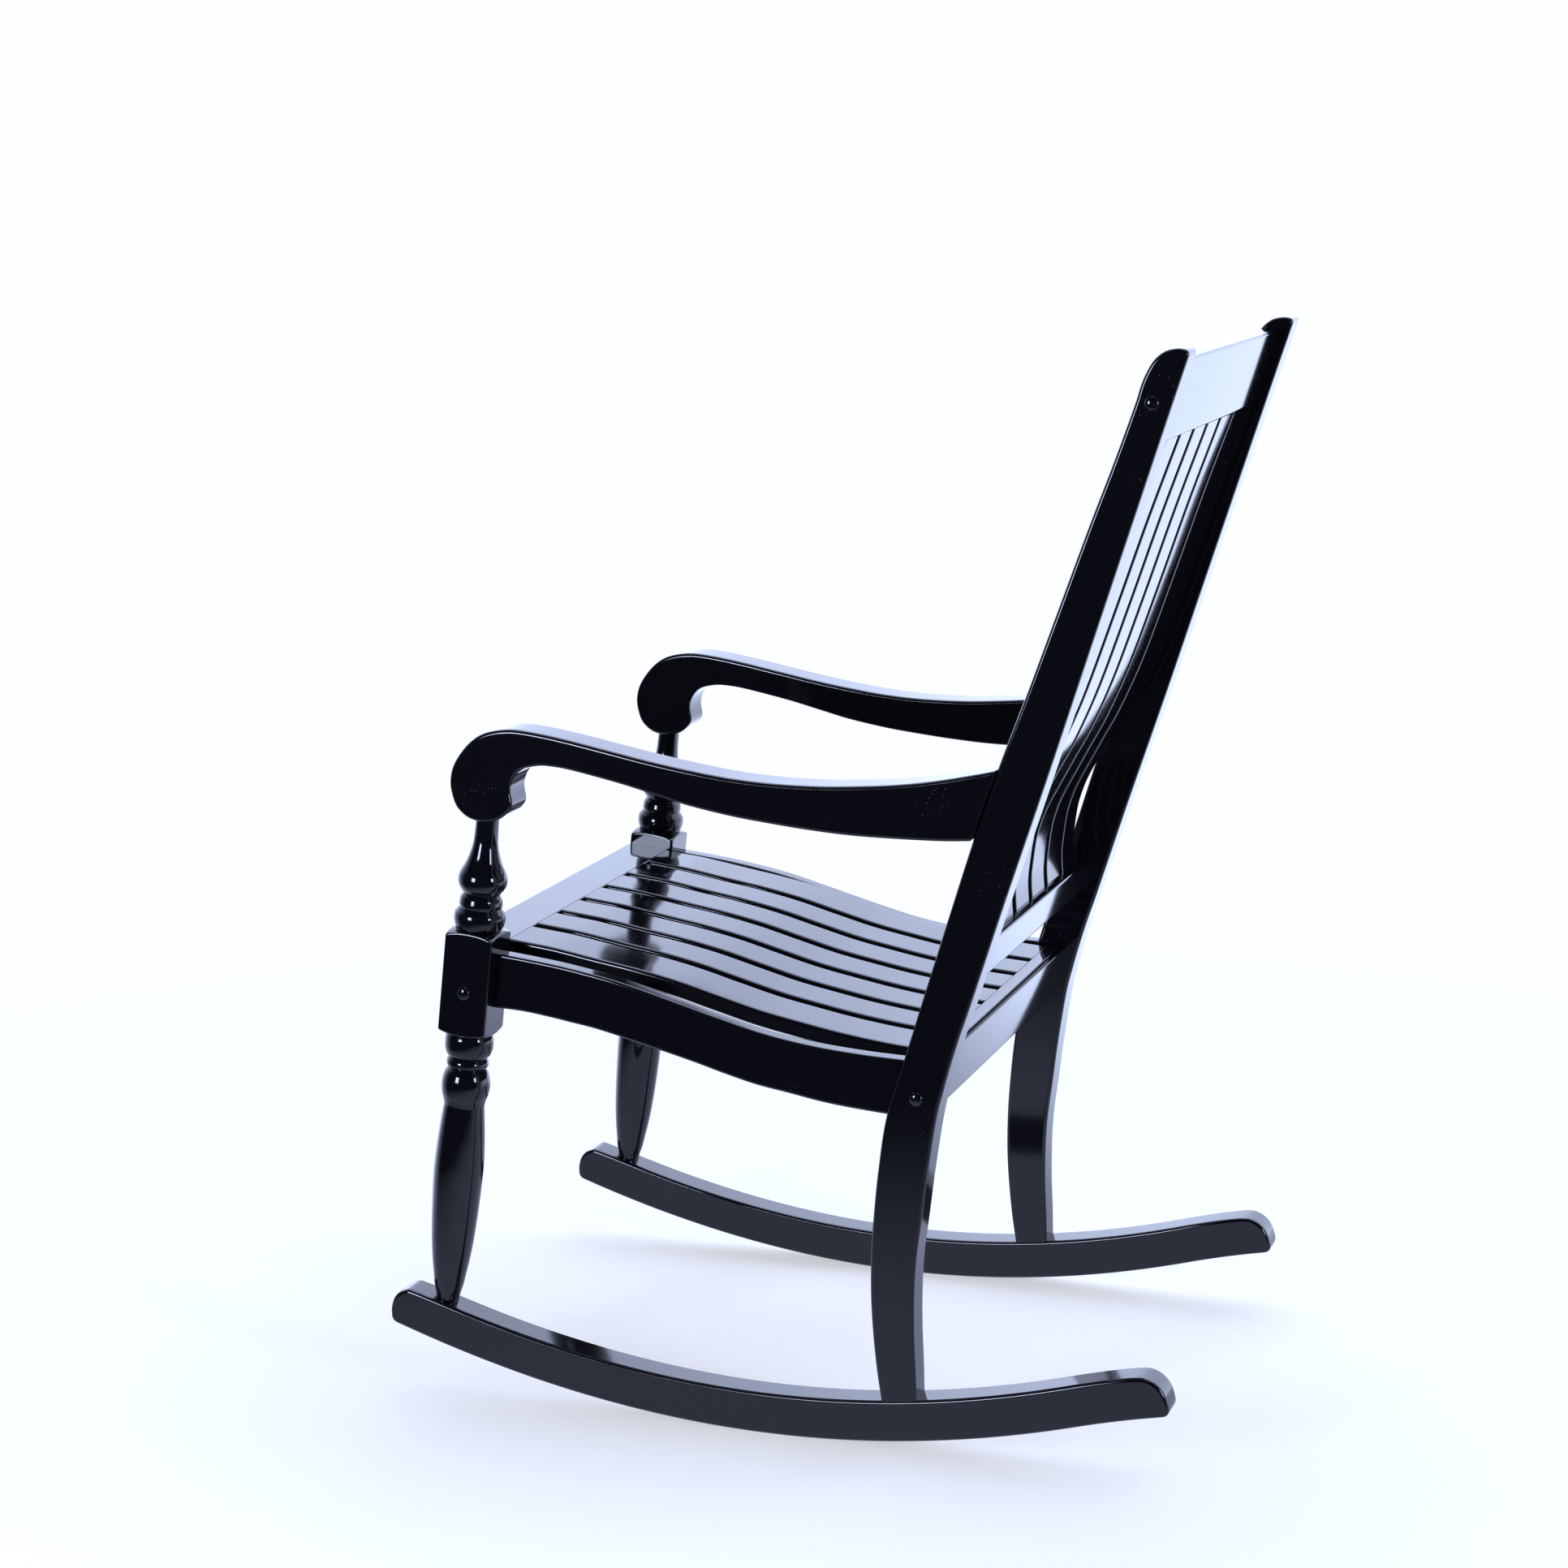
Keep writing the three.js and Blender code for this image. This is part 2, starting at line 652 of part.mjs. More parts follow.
// Each tenon stops short of the bolt that crosses its post.
function railTenon(side, end, grow) {
  const z = RAIL_JOINT[end];
  const stop = HEAD_RADIUS + GAP + BOLT_WALL;
  if (end === "front") {
    const root = blockFaceY(z[0], 1) + TENON_ROOT;
    return flatTenon(side * FRAME_CENTRE, [BOLT_AT.front[0] + stop, root], z, grow);
  }
  const root = yAt(postFront, z[0]) - TENON_ROOT;
  return flatTenon(side * FRAME_CENTRE, [root, BOLT_AT.rear[0] - stop], z, grow);
}

function sideRail(side) {
  const xa = side * (FRAME_CENTRE - RAIL_THICK / 2);
  const xb = side * (FRAME_CENTRE + RAIL_THICK / 2);
  return board(railOutline(), xa, xb, EDGE - 1)
    .add(railTenon(side, "front", 0))
    .add(railTenon(side, "rear", 0));
}

// Arm: crowned, swept and ending in a scroll over the front post.
const ARM_TOP = [[217, 722], [175, 713], [132, 706.5], [81, 702], [46, 700.3], [3, 700.3],
  [-41, 703], [-85, 708.5], [-129, 715.5], [-174, 724], [-219, 732.5], [-255, 738], [-284, 740]];
const ARM_SCROLL = [[-310, 735.5], [-327, 726], [-340.5, 711.5], [-349.5, 696], [-352.5, 680],
  [-350.5, 666.5], [-345.5, 654], [-334.5, 644], [-322, 640], [-309, 640], [-297, 643.5],
  [-288, 650.5], [-281.5, 659], [-283.5, 667], [-284.5, 675], [-283, 683], [-278, 692],
  [-269, 699]];
const ARM_UNDER = [[-252, 703], [-237, 703], [-219, 701], [-187, 695], [-154, 688], [-120, 679.5],
  [-85, 671], [-39, 663], [3, 658], [45, 654], [86, 651.5], [133, 651], [175, 652]];

function armOutline() {
  const [low, high] = [at([0, 654.5])[1], at([0, 726])[1]];
  const end = (z) => [yAt(postFront, z) - GAP, z];
  const outline = [end(low), ...alongPost(low, high), end(high)];
  return [...outline, ...[...ARM_TOP, ...ARM_SCROLL, ...ARM_UNDER].map(at)];
}

const ARM_JOINT = [at([0, 676])[1], at([0, 706])[1]];

function armTenon(side, grow) {
  const face = yAt(postFront, ARM_JOINT[0]);
  const ends = [face - TENON_ROOT, face + TENON_LENGTH];
  return flatTenon(side * FRAME_CENTRE, ends, ARM_JOINT, grow);
}

function arm(side) {
  const inner = FRAME_CENTRE - ARM_WIDTH / 2;
  const body = board(armOutline(), side * inner, side * (inner + ARM_WIDTH), EDGE);
  return body.add(armTenon(side, 0)).subtract(legTopEnd(side, GAP));
}

// ---------------------------------------------------------------- seat

// Lengthwise section of a seat piece between two stations, as thick as given.
function seatSection(ya, yb, thick) {
  const inner = seatTop.filter(([y]) => y > ya + 4 && y < yb - 4);
  const top = [[ya, zAt(seatTop, ya)], ...inner, [yb, zAt(seatTop, yb)]];
  const under = offset(top, -thick);
  under[0][0] = ya;
  under[under.length - 1][0] = yb;
  return [...under, ...top.reverse()];
}

// Height of the tongue that joins a slat to the cross boards.
function tongueRange(y) {
  const middle = zAt(seatTop, y) - SEAT_SLAT_THICK / 2;
  return [middle - TONGUE_THICK / 2, middle + TONGUE_THICK / 2];
}

function slatX(i) {
  return (i - (SLATS - 1) / 2) * SLAT_PITCH;
}

function tongue(xa, xb, end, grow) {
  const y = end === "front" ? SLAT_START_Y : SLAT_END_Y;
  const way = end === "front" ? -1 : 1;
  const [za, zb] = tongueRange(y);
  const tip = y + way * (TONGUE_LENGTH + grow);
  const root = y - way * HOUSING;
  const ends = [Math.min(root, tip), Math.max(root, tip)];
  return box([xa - grow, xb + grow], ends, [za - grow, zb + grow]);
}

// One groove takes the tongues of every slat.
function tongueGroove(end) {
  const half = SEAT_HALF - TONGUE_INSET;
  return tongue(-half, half, end, GAP);
}

function seatSlat(i) {
  const section = seatSection(SLAT_START_Y + GAP, SLAT_END_Y - GAP, SEAT_SLAT_THICK);
  const xa = i === 0 ? -SEAT_HALF : slatX(i) - SLAT_WIDTH / 2;
  const xb = i === SLATS - 1 ? SEAT_HALF : slatX(i) + SLAT_WIDTH / 2;
  return board(section, xa, xb, EDGE, 1)
    .add(tongue(xa + TONGUE_INSET, xb - TONGUE_INSET, "front", 0))
    .add(tongue(xa + TONGUE_INSET, xb - TONGUE_INSET, "rear", 0));
}

function frontBoard() {
  const zBack = zAt(seatTop, SLAT_START_Y);
  const zFront = zBack + BOARD_RISE;
  const corners = [
    [SEAT_FRONT_Y, zFront],
    [SEAT_FRONT_Y, zFront - BOARD_THICK],
    [SLAT_START_Y, zBack - BOARD_THICK],
    [SLAT_START_Y, zBack],
  ];
  const [nose, noseUnder, backUnder, back] = corners;
  const outline = [
    ...filleted([backUnder, back, nose, noseUnder], 2, 1).slice(0, 4),
    ...filleted([back, nose, noseUnder, backUnder], NOSE_ROUND, 4).slice(5, 15),
  ];
  const half = BLOCK_INNER - GAP;
  return board(outline, -half, half).subtract(tongueGroove("front"));
}

// y of the inner face of the rear apron's lip at a height.
function lipY(z) {
  return yAt(APRON_REAR, z) - LIP_THICK;
}

// Strip that closes the slats, its rear face leaning with the lip behind it.
function rearStrip() {
  const [under, underBack, back, top] = seatSection(SLAT_END_Y, SEAT_BACK_Y, SEAT_SLAT_THICK);
  const corners = [under, ...[underBack, back].map(([, z]) => [lipY(z) - GAP, z]), top];
  const strip = board(filleted(corners, 2, 2), -SEAT_HALF, SEAT_HALF);
  return strip.subtract(tongueGroove("rear"));
}

function frontApron() {
  const [y, z] = BOLT_AT.front;
  const h = FRONT_APRON_THICK / 2;
  const top = zAt(seatTop, SLAT_START_Y) - BOARD_THICK - GAP;
  const lean = Math.tan(LEAN);
  const bottom = z - FRONT_APRON_HEIGHT / 2;
  const corners = [
    [y - h + (bottom - z) * lean, bottom],
    [y + h + (bottom - z) * lean, bottom],
    [y + h + (top - z) * lean, top],
    [y - h + (top - z) * lean, top],
  ];
  const half = BLOCK_INNER - GAP;
  return bored(board(filleted(corners, 3, 2), -half, half), "front");
}

// Rear apron: rebated along its top so that the seat drops in against a thin lip.
function rearApron() {
  const [[bottomY, bottom]] = APRON_REAR;
  const seatUnder = zAt(seatTop, SEAT_BACK_Y) - SEAT_SLAT_THICK - GAP;
  const lip = zAt(seatTop, SEAT_BACK_Y) - LIP_DROP;
  const round = lip - LIP_ROUND;
  const corners = [
    [yAt(APRON_REAR, seatUnder) - APRON_THICK, seatUnder],
    [bottomY - APRON_THICK, bottom],
    [bottomY, bottom],
    [yAt(APRON_REAR, lip), lip],
  ];
  const outline = [
    ...filleted(corners, 3, 2).slice(3, 9),
    [yAt(APRON_REAR, round), round],
    [yAt(APRON_REAR, lip) - LIP_ROUND, lip],
    [lipY(lip) + LIP_ROUND, lip],
    [lipY(round), round],
    [lipY(seatUnder), seatUnder],
    corners[0],
  ];
  const half = POST_INNER - GAP;
  return bored(board(outline, -half, half), "rear");
}

// ---------------------------------------------------------------- back

// Section of a cross rail that follows the rake of the posts.
function rakedSection([[yb, zb], [yt, zt]], thick) {
  return [[yb - thick, zb], [yb, zb], [yt, zt], [yt - thick, zt]];
}

const LOWER_RAIL = rakedSection(LOWER_RAIL_REAR, LOWER_RAIL_THICK);
const CREST = rakedSection(CREST_REAR, CREST_THICK);

function lowerRailTenon(side, grow) {
  const [[, za], , [, zb]] = LOWER_RAIL;
  const middle = (LOWER_RAIL[0][0] + LOWER_RAIL[2][0]) / 2;
  const x = [side * (POST_INNER - HOUSING), side * (POST_INNER + TENON_LENGTH + grow)];
  const half = TENON_THICK / 2 + grow;
  const ends = [za + TENON_THICK - grow, zb - TENON_THICK + grow];
  return box(x, [middle - half, middle + half], ends);
}

function backSlatSolid(i, grow) {
  const rear = smooth(BACK_SLAT_REAR, 16);
  const ends = [LOWER_RAIL[2][1] - SLAT_HOUSING - grow, CREST[0][1] + SLAT_HOUSING + grow];
  const inner = rear.filter(([, z]) => z > ends[0] + 6 && z < ends[1] - 6);
  const back = [[yAt(rear, ends[0]), ends[0]], ...inner, [yAt(rear, ends[1]), ends[1]]];
  const face = offset(back, BACK_SLAT_THICK);
  face[0][1] = ends[0];
  face[face.length - 1][1] = ends[1];
  const shifted = [...offset(back, -grow), ...offset(face, grow).reverse()];
  const half = SLAT_WIDTH / 2 + grow;
  return board(shifted, slatX(i) - half, slatX(i) + half, grow ? 0 : 3, 1);
}

function mortised(rail) {
  let result = rail;
  for (let i = 0; i < SLATS; i++) {
    result = result.subtract(backSlatSolid(i, GAP));
  }
  return result;
}

function lowerRail() {
  const half = POST_INNER - GAP;
  const body = board(filleted(LOWER_RAIL, 3, 2), -half, half);
  return mortised(body).add(lowerRailTenon(1, 0)).add(lowerRailTenon(-1, 0));
}

function crest() {
  const half = POST_INNER - GAP;
  return bored(mortised(board(filleted(CREST, 3.5, 2), -half, half)), "crest");
}

// ---------------------------------------------------------------- assembly

const chair = new THREE.Group();
chair.name = "rocking_chair";

for (const [side, label] of [[1, "left"], [-1, "right"]]) {
  chair.add(toMesh(`rocker_${label}`, rocker(side)));
  chair.add(toMesh(`front_post_${label}`, frontPost(side)));
  chair.add(toMesh(`rear_post_${label}`, rearPost(side)));
  chair.add(toMesh(`side_rail_${label}`, sideRail(side)));
  chair.add(toMesh(`arm_${label}`, arm(side)));
  for (const joint of ["crest", "front", "rear"]) {
    chair.add(toMesh(`bolt_${joint}_${label}`, bolt(joint, side), steel));
    chair.add(toMesh(`nut_${joint}_${label}`, nut(joint, side), steel));
    chair.add(toMesh(`plug_${joint}_${label}`, plug(joint, side)));
  }
}
chair.add(toMesh("seat_front_board", frontBoard()));
chair.add(toMesh("seat_rear_strip", rearStrip()));
chair.add(toMesh("front_apron", frontApron()));
chair.add(toMesh("rear_apron", rearApron()));
chair.add(toMesh("crest_rail", crest()));
chair.add(toMesh("lower_back_rail", lowerRail()));
for (let i = 0; i < SLATS; i++) {
  chair.add(toMesh(`seat_slat_${i + 1}`, seatSlat(i)));
  chair.add(toMesh(`back_slat_${i + 1}`, backSlatSolid(i, 0)));
}
chair.position.y = FRAME_SHIFT;

export default chair;
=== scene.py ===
"""Rocking chair in black lacquer: the fine surfaces of every wooden piece, and a pale studio round it."""

import math

import bpy
import numpy as np
from bpy.props import FloatProperty, FloatVectorProperty, PointerProperty
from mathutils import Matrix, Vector


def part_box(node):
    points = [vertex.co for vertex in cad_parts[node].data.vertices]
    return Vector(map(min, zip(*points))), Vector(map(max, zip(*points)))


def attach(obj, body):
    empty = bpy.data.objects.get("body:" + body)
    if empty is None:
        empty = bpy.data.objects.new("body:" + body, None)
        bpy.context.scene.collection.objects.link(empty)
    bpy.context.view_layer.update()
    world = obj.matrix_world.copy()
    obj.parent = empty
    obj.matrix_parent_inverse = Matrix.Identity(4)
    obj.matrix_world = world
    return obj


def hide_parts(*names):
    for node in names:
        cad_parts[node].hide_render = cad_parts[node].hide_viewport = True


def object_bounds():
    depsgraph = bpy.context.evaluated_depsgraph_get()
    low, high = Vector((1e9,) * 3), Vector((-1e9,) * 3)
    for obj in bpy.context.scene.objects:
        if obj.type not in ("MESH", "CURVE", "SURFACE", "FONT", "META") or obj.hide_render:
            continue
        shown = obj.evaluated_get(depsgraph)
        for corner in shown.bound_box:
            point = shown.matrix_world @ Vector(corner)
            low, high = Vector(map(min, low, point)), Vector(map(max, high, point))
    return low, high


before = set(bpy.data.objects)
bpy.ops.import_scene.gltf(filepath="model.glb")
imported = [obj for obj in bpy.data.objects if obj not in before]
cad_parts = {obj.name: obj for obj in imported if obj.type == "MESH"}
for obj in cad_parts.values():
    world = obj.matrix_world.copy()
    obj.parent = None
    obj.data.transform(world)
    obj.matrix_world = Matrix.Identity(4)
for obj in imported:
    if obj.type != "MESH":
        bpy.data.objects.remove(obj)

bl_info = {
    "name": "Rocking Chair",
    "version": (1, 0, 0),
    "blender": (4, 5, 0),
    "location": "View3D > Sidebar > Rocking Chair",
    "description": "Builds the pieces of a lacquered rocking chair round its packed frame",
    "category": "Add Mesh",
}

CAD_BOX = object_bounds()
MM = 0.001
CLEARANCE = 0.3 * MM  # between two pieces that touch
LET_IN = 2 * MM  # how far a plain end runs into its neighbour, so that no gap shows
RAIL_THICK = 0.022  # crest and lower back rail, front to back
FRONT_APRON_THICK = 0.024
BOARD_THICK = 0.020
LIP = 0.005  # thickness of the rear apron's lip
POST_FOOT = 0.6 * MM  # how far a rear post runs into the rocker's rounded top
END_REACH = 0.0065  # rounding at the ends of the rockers and at the crown of the rear posts
PLUG_DOME = 0.0036
PLUG_SOCKET = 0.005  # depth of a plug's shank in its post
SIDES = ((1, "left"), (-1, "right"))

SPACING = 0.003  # between the points of an outline
CORNER_POINTS = 9
SHARP_ANGLE = math.radians(34)

# The side profiles below are drawn in mm for a chair of this length and height, with y from the
# point of floor contact and z from the floor.
DRAWN_LENGTH = 863
DRAWN_HEIGHT = 1149
DRAWN_FRONT = -435


def width_of(node):
    """Size of a frame node across the chair, in metres."""
    low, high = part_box(node)
    return high.x - low.x


def middle_of(node):
    """Plane of a frame node across the chair, in metres."""
    low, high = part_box(node)
    return (high.x + low.x) / 2


# ------------------------------------------------------------------------------- sizes and colours


class ChairSizes(bpy.types.PropertyGroup):
    """Sizes of the chair's wood that a maker would change."""

    edge: FloatProperty(
        name="Edge rounding", description="Radius of the long edges of the side frames",
        default=0.004, min=0.001, max=0.006, unit="LENGTH")
    slat_edge: FloatProperty(
        name="Slat rounding", description="Radius of the edges of the back slats",
        default=0.003, min=0.001, max=0.005, unit="LENGTH")
    post_width: FloatProperty(
        name="Rear post", description="Thickness of the rear posts across the chair",
        default=width_of("rear_post_left"), unit="LENGTH")
    rocker_width: FloatProperty(
        name="Rocker", description="Thickness of the rockers across the chair",
        default=width_of("rocker_left"), unit="LENGTH")
    arm_width: FloatProperty(
        name="Arm", description="Width of the arms", default=width_of("arm_left"), unit="LENGTH")
    rail_width: FloatProperty(
        name="Side rail", description="Thickness of the side rails",
        default=width_of("side_rail_left"), unit="LENGTH")
    block: FloatProperty(
        name="Post block", description="Side of the square block on the front posts",
        default=0.054, unit="LENGTH")
    seat_slat: FloatProperty(
        name="Seat slat", description="Thickness of the seat slats", default=0.018, unit="LENGTH")
    back_slat: FloatProperty(
        name="Back slat", description="Thickness of the back slats", default=0.012, unit="LENGTH")
    apron: FloatProperty(
        name="Rear apron", description="Thickness of the rear apron, front to back",
        default=0.022, unit="LENGTH")


class ChairColours(bpy.types.PropertyGroup):
    """Colours and gloss of the chair and its stage."""

    lacquer: FloatVectorProperty(
        name="Lacquer", description="Colour of the lacquer", subtype="COLOR", size=3,
        default=(0.0028, 0.0028, 0.0042), min=0, max=1)
    dust: FloatVectorProperty(
        name="Dust", description="Colour of the specks of dust on the lacquer", subtype="COLOR",
        size=3, default=(0.30, 0.31, 0.36), min=0, max=1)
    gloss: FloatProperty(
        name="Lacquer roughness", description="Roughness of the polished lacquer",
        default=0.05, min=0.02, max=0.6, subtype="FACTOR")
    steel: FloatVectorProperty(
        name="Steel", description="Colour of the bolts and nuts", subtype="COLOR", size=3,
        default=(0.46, 0.47, 0.48), min=0, max=1)
    floor: FloatVectorProperty(
        name="Floor", description="Colour of the studio floor", subtype="COLOR", size=3,
        default=(0.86, 0.87, 0.90), min=0, max=1)


# ------------------------------------------------------------------------------- curves


def drawn(points):
    """Points of a side profile as metres in the frame: stretched to the frame's length and height."""
    points = np.asarray(points, float).reshape(-1, 2)
    low, high = CAD_BOX
    y = low.y + (points[:, 0] - DRAWN_FRONT) * (high.y - low.y) / DRAWN_LENGTH
    z = low.z + points[:, 1] * (high.z - low.z) / DRAWN_HEIGHT
    return np.stack([y, z], 1)


def unit(vectors):
    """Each row scaled to length one."""
    return vectors / np.maximum(np.linalg.norm(vectors, axis=-1, keepdims=True), 1e-12)


def walked(line, spacing, start=0.0, end=0.0):
    """A line walked at equal steps by its length, with a stretch left off at its start and end."""
    run = np.concatenate([[0], np.cumsum(np.linalg.norm(np.diff(line, axis=0), axis=1))])
    stations = max(int((run[-1] - start - end) / spacing), 1) + 1
    at = np.linspace(start, run[-1] - end, stations)
    return np.stack([np.interp(at, run, line[:, 0]), np.interp(at, run, line[:, 1])], 1)


def smooth(points, spacing=SPACING):
    """Cubic spans through the points, each span's slope at a point being half the step between
    the point's two neighbours, walked at equal steps."""
    p = np.asarray(points, float)
    p = np.vstack([2 * p[0] - p[1], p, 2 * p[-1] - p[-2]])
    a, b, c, d = p[:-3], p[1:-2], p[2:-1], p[3:]
    t = np.linspace(0, 1, 24, endpoint=False)[:, None, None]
    span = b + t * (c - a) / 2 + t ** 2 * (a - 2.5 * b + 2 * c - d / 2)
    span = span + t ** 3 * (1.5 * b - a / 2 - 1.5 * c + d / 2)
    line = np.vstack([span.transpose(1, 0, 2).reshape(-1, 2), p[-2]])
    return walked(line, spacing)


def shifted(line, distance):
    """A line moved to its left by a distance, square to the step between its neighbours."""
    step = unit(np.gradient(line, axis=0))
    return line + distance * np.stack([-step[:, 1], step[:, 0]], 1)


def level(line, z):
    """y of a climbing line at a height."""
    return np.interp(z, line[:, 1], line[:, 0])


def height(line, y):
    """z of a line that runs rearwards at a station."""
    return np.interp(y, line[:, 0], line[:, 1])


def outline(runs, reaches, shares=None, clear=0.006):
    """Closed outline of runs that meet end to end. At a corner with a reach, both runs are cut
    back by the reach and joined by a parabola that leans on the corner; at a sharp corner the
    runs keep clear of it. Returns the points and, for the step after each point, the share of the
    edge rounding that it takes."""
    count = len(runs)
    reaches = np.broadcast_to(reaches, count)
    shares = np.ones(count) if shares is None else np.asarray(shares, float)
    t = np.linspace(0, 1, CORNER_POINTS)[:, None]
    points, rounding = [], []
    for i, run in enumerate(runs):
        before, after = reaches[i - 1], reaches[i]
        body = walked(run, SPACING, before or clear, after or clear)
        if len(run) == 2:
            body = body[[0, -1]]
        corner = run[-1]
        following = walked(runs[(i + 1) % count], SPACING, after or clear)[0]
        if after:
            bend = (1 - t) ** 2 * body[-1] + 2 * t * (1 - t) * corner + t ** 2 * following
            bend = bend[1:-1]
        else:
            bend = corner[None]
        points += [body, bend]
        rounding += [np.full(len(body), shares[i]), np.full(len(bend), shares[i])]
        if not after:
            rounding[-1][:] = shares[(i + 1) % count]
    points, rounding = np.vstack(points), np.concatenate(rounding)
    following = np.roll(points, -1, axis=0)
    if np.sum(points[:, 0] * following[:, 1] - points[:, 1] * following[:, 0]) < 0:
        return points[::-1], np.roll(rounding[::-1], -1)
    return points, rounding


def inset(points, distances):
    """A closed outline moved inwards, each step by its own distance: a point goes where the two
    moved steps beside it meet."""
    ahead = unit(np.roll(points, -1, axis=0) - points)
    behind = np.roll(ahead, 1, axis=0)
    na = np.stack([-behind[:, 1], behind[:, 0]], 1)
    nb = np.stack([-ahead[:, 1], ahead[:, 0]], 1)
    da, db = np.roll(distances, 1), distances
    cross = na[:, 0] * nb[:, 1] - na[:, 1] * nb[:, 0]
    turned = np.abs(cross) > 0.2
    safe = np.where(turned, cross, 1)
    meeting = np.stack([da * nb[:, 1] - db * na[:, 1], db * na[:, 0] - da * nb[:, 0]], 1)
    mean = ((da + db) / 2 / (1 + np.sum(na * nb, 1)))[:, None] * (na + nb)
    return points + np.where(turned[:, None], meeting / safe[:, None], mean)


# ------------------------------------------------------------------------------- surfaces


def grid_faces(rows, columns):
    """Quads of a grid of rows that close on themselves, with a cap of one face at each end."""
    i = np.arange(rows - 1)[:, None] * columns
    j = np.arange(columns)[None]
    k = (j + 1) % columns
    quads = np.stack([i + j, i + k, i + k + columns, i + j + columns], -1).reshape(-1, 4)
    last = (rows - 1) * columns
    caps = [list(range(columns))[::-1], list(range(last, last + columns))]
    return quads.tolist() + caps


def piece(name, rows, finish, nodes):
    """A closed surface of rows of points as a piece of the chair that stands for frame nodes."""
    mesh = bpy.data.meshes.new(name)
    mesh.from_pydata(rows.reshape(-1, 3), [], grid_faces(*rows.shape[:2]))
    mesh.validate()
    mesh.shade_smooth()
    mesh.set_sharp_from_angle(angle=SHARP_ANGLE)
    mesh.materials.append(finish)
    made = bpy.data.objects.new(name, mesh)
    bpy.context.scene.collection.objects.link(made)
    even = made.modifiers.new("even_shading", "WEIGHTED_NORMAL")
    even.keep_sharp = True
    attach(made, "root")
    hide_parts(*nodes)
    return made


def board(shape, low, high, edge=0.0, steps=8):
    """Rows of a board whose outline lies in YZ and whose thickness runs along X: the outline drawn
    in by one minus the sine of an angle, at one minus its cosine from the face, for a quarter
    round of the edge radius at each face."""
    points, rounding = shape
    angle = np.linspace(0, math.pi / 2, steps + 1) if edge else np.array([math.pi / 2])
    depth = edge * (1 - np.cos(angle))
    rings = np.stack([inset(points, rounding * edge * (1 - math.sin(a))) for a in angle])
    x = np.concatenate([low + depth, (high - depth)[::-1]])
    rings = np.concatenate([rings, rings[::-1]])
    return np.concatenate([np.broadcast_to(x[:, None, None], rings.shape[:2] + (1,)), rings], 2)


# ------------------------------------------------------------------------------- side profiles

CONTACT_FLAT = 24
FLOOR_RADIUS = 1200  # of the rocker's underside ahead of the contact
TIP_EASE = 6e-11
TAIL_RADIUS = 1150
TAIL_START = 330
TAIL_EASE = 0.0005
ROCKER_DEPTH = 44.5
ROCKER_HEEL = [(428, 76), (427, 83), (423, 94), (416, 102.5), (407, 107.5), (396, 108.8)]
ROCKER_TIP = [(-410, 113.5), (-418, 113), (-426, 109.5), (-432, 102), (-435, 91), (-435, 84)]
POST_FRONT = [(124, 46), (118, 84), (113.5, 125), (111, 165), (111, 205), (113, 245), (118, 300),
              (127, 361), (147, 427), (168, 497), (192, 577), (216, 655), (240, 727), (267, 800),
              (298, 887), (329, 974), (352, 1036), (372, 1093), (378, 1113), (384, 1127),
              (391, 1138), (401, 1146), (412, 1149), (420, 1148.6), (426.5, 1147)]
POST_REAR = [(161, 46), (160, 84), (158, 130), (158, 175), (160, 210), (165, 250), (171, 300),
             (180, 360), (187, 390), (195, 420), (204, 450), (214, 480), (233, 540), (252, 600),
             (291, 720), (329, 840), (367, 960), (405, 1080), (426.5, 1147)]
RAIL_TOP = [(-330, 497.5), (-299, 495), (-262, 491), (-225, 486), (-171, 476), (-116, 461.5),
            (-63, 447), (-9, 433.5), (44, 425), (97, 420.5), (145, 418.5)]
RAIL_BOTTOM = [(-330, 437), (-282, 435), (-252, 431.5), (-223, 427), (-193, 422), (-150, 412),
               (-90, 397), (-54, 387), (-18, 378), (18, 372), (53, 366), (88, 362), (140, 358)]
ARM_TOP = [(246, 729), (217, 722), (175, 713), (132, 706.5), (81, 702), (46, 700.3), (3, 700.3),
           (-41, 703), (-85, 708.5), (-129, 715.5), (-174, 724), (-219, 732.5), (-255, 738),
           (-284, 740), (-310, 735.5), (-327, 726), (-340.5, 711.5), (-349.5, 696), (-352.5, 680),
           (-350.5, 666.5), (-345.5, 654), (-334.5, 644), (-322, 640), (-309, 640),
           (-297, 643.5), (-288, 650.5), (-281.5, 659)]
ARM_CROOK = [(-281.5, 659), (-283.5, 667), (-284.5, 675), (-283, 683), (-278, 692), (-269, 699),
             (-252, 703), (-237, 703), (-219, 701), (-187, 695), (-154, 688), (-120, 679.5),
             (-85, 671), (-39, 663), (3, 658), (45, 654), (86, 651.5), (133, 651), (186, 652),
             (226, 655)]
SEAT_TOP = [(-310, 502), (-283, 499), (-258, 496), (-211, 488), (-165, 480.5), (-119, 471),
            (-74, 459), (-28, 447), (17, 438), (62, 430), (111, 423.5), (159, 419.5), (174, 419)]
SEAT_FRONT = (-368, 505)
SLAT_START = -310
SLAT_END = 159
SEAT_BACK = 174
BACK_SLAT_REAR = [(197, 500), (193.5, 521), (192, 545), (194, 567), (197.5, 591), (203, 610),
                  (210, 627), (222, 650), (239, 682), (258, 718), (283, 777), (315, 869),
                  (346, 961), (377.5, 1049), (381, 1060)]
APRON = [(157.5, 346.5), (178, 415)]
LOWER_RAIL = [(187.5, 474), (202, 520)]
CREST = [(383, 1050), (410, 1135.5)]
LEG_AXIS = [(-375.2, 103), (-318.6, 641)]
JOINTS = ("crest", "front", "rear")


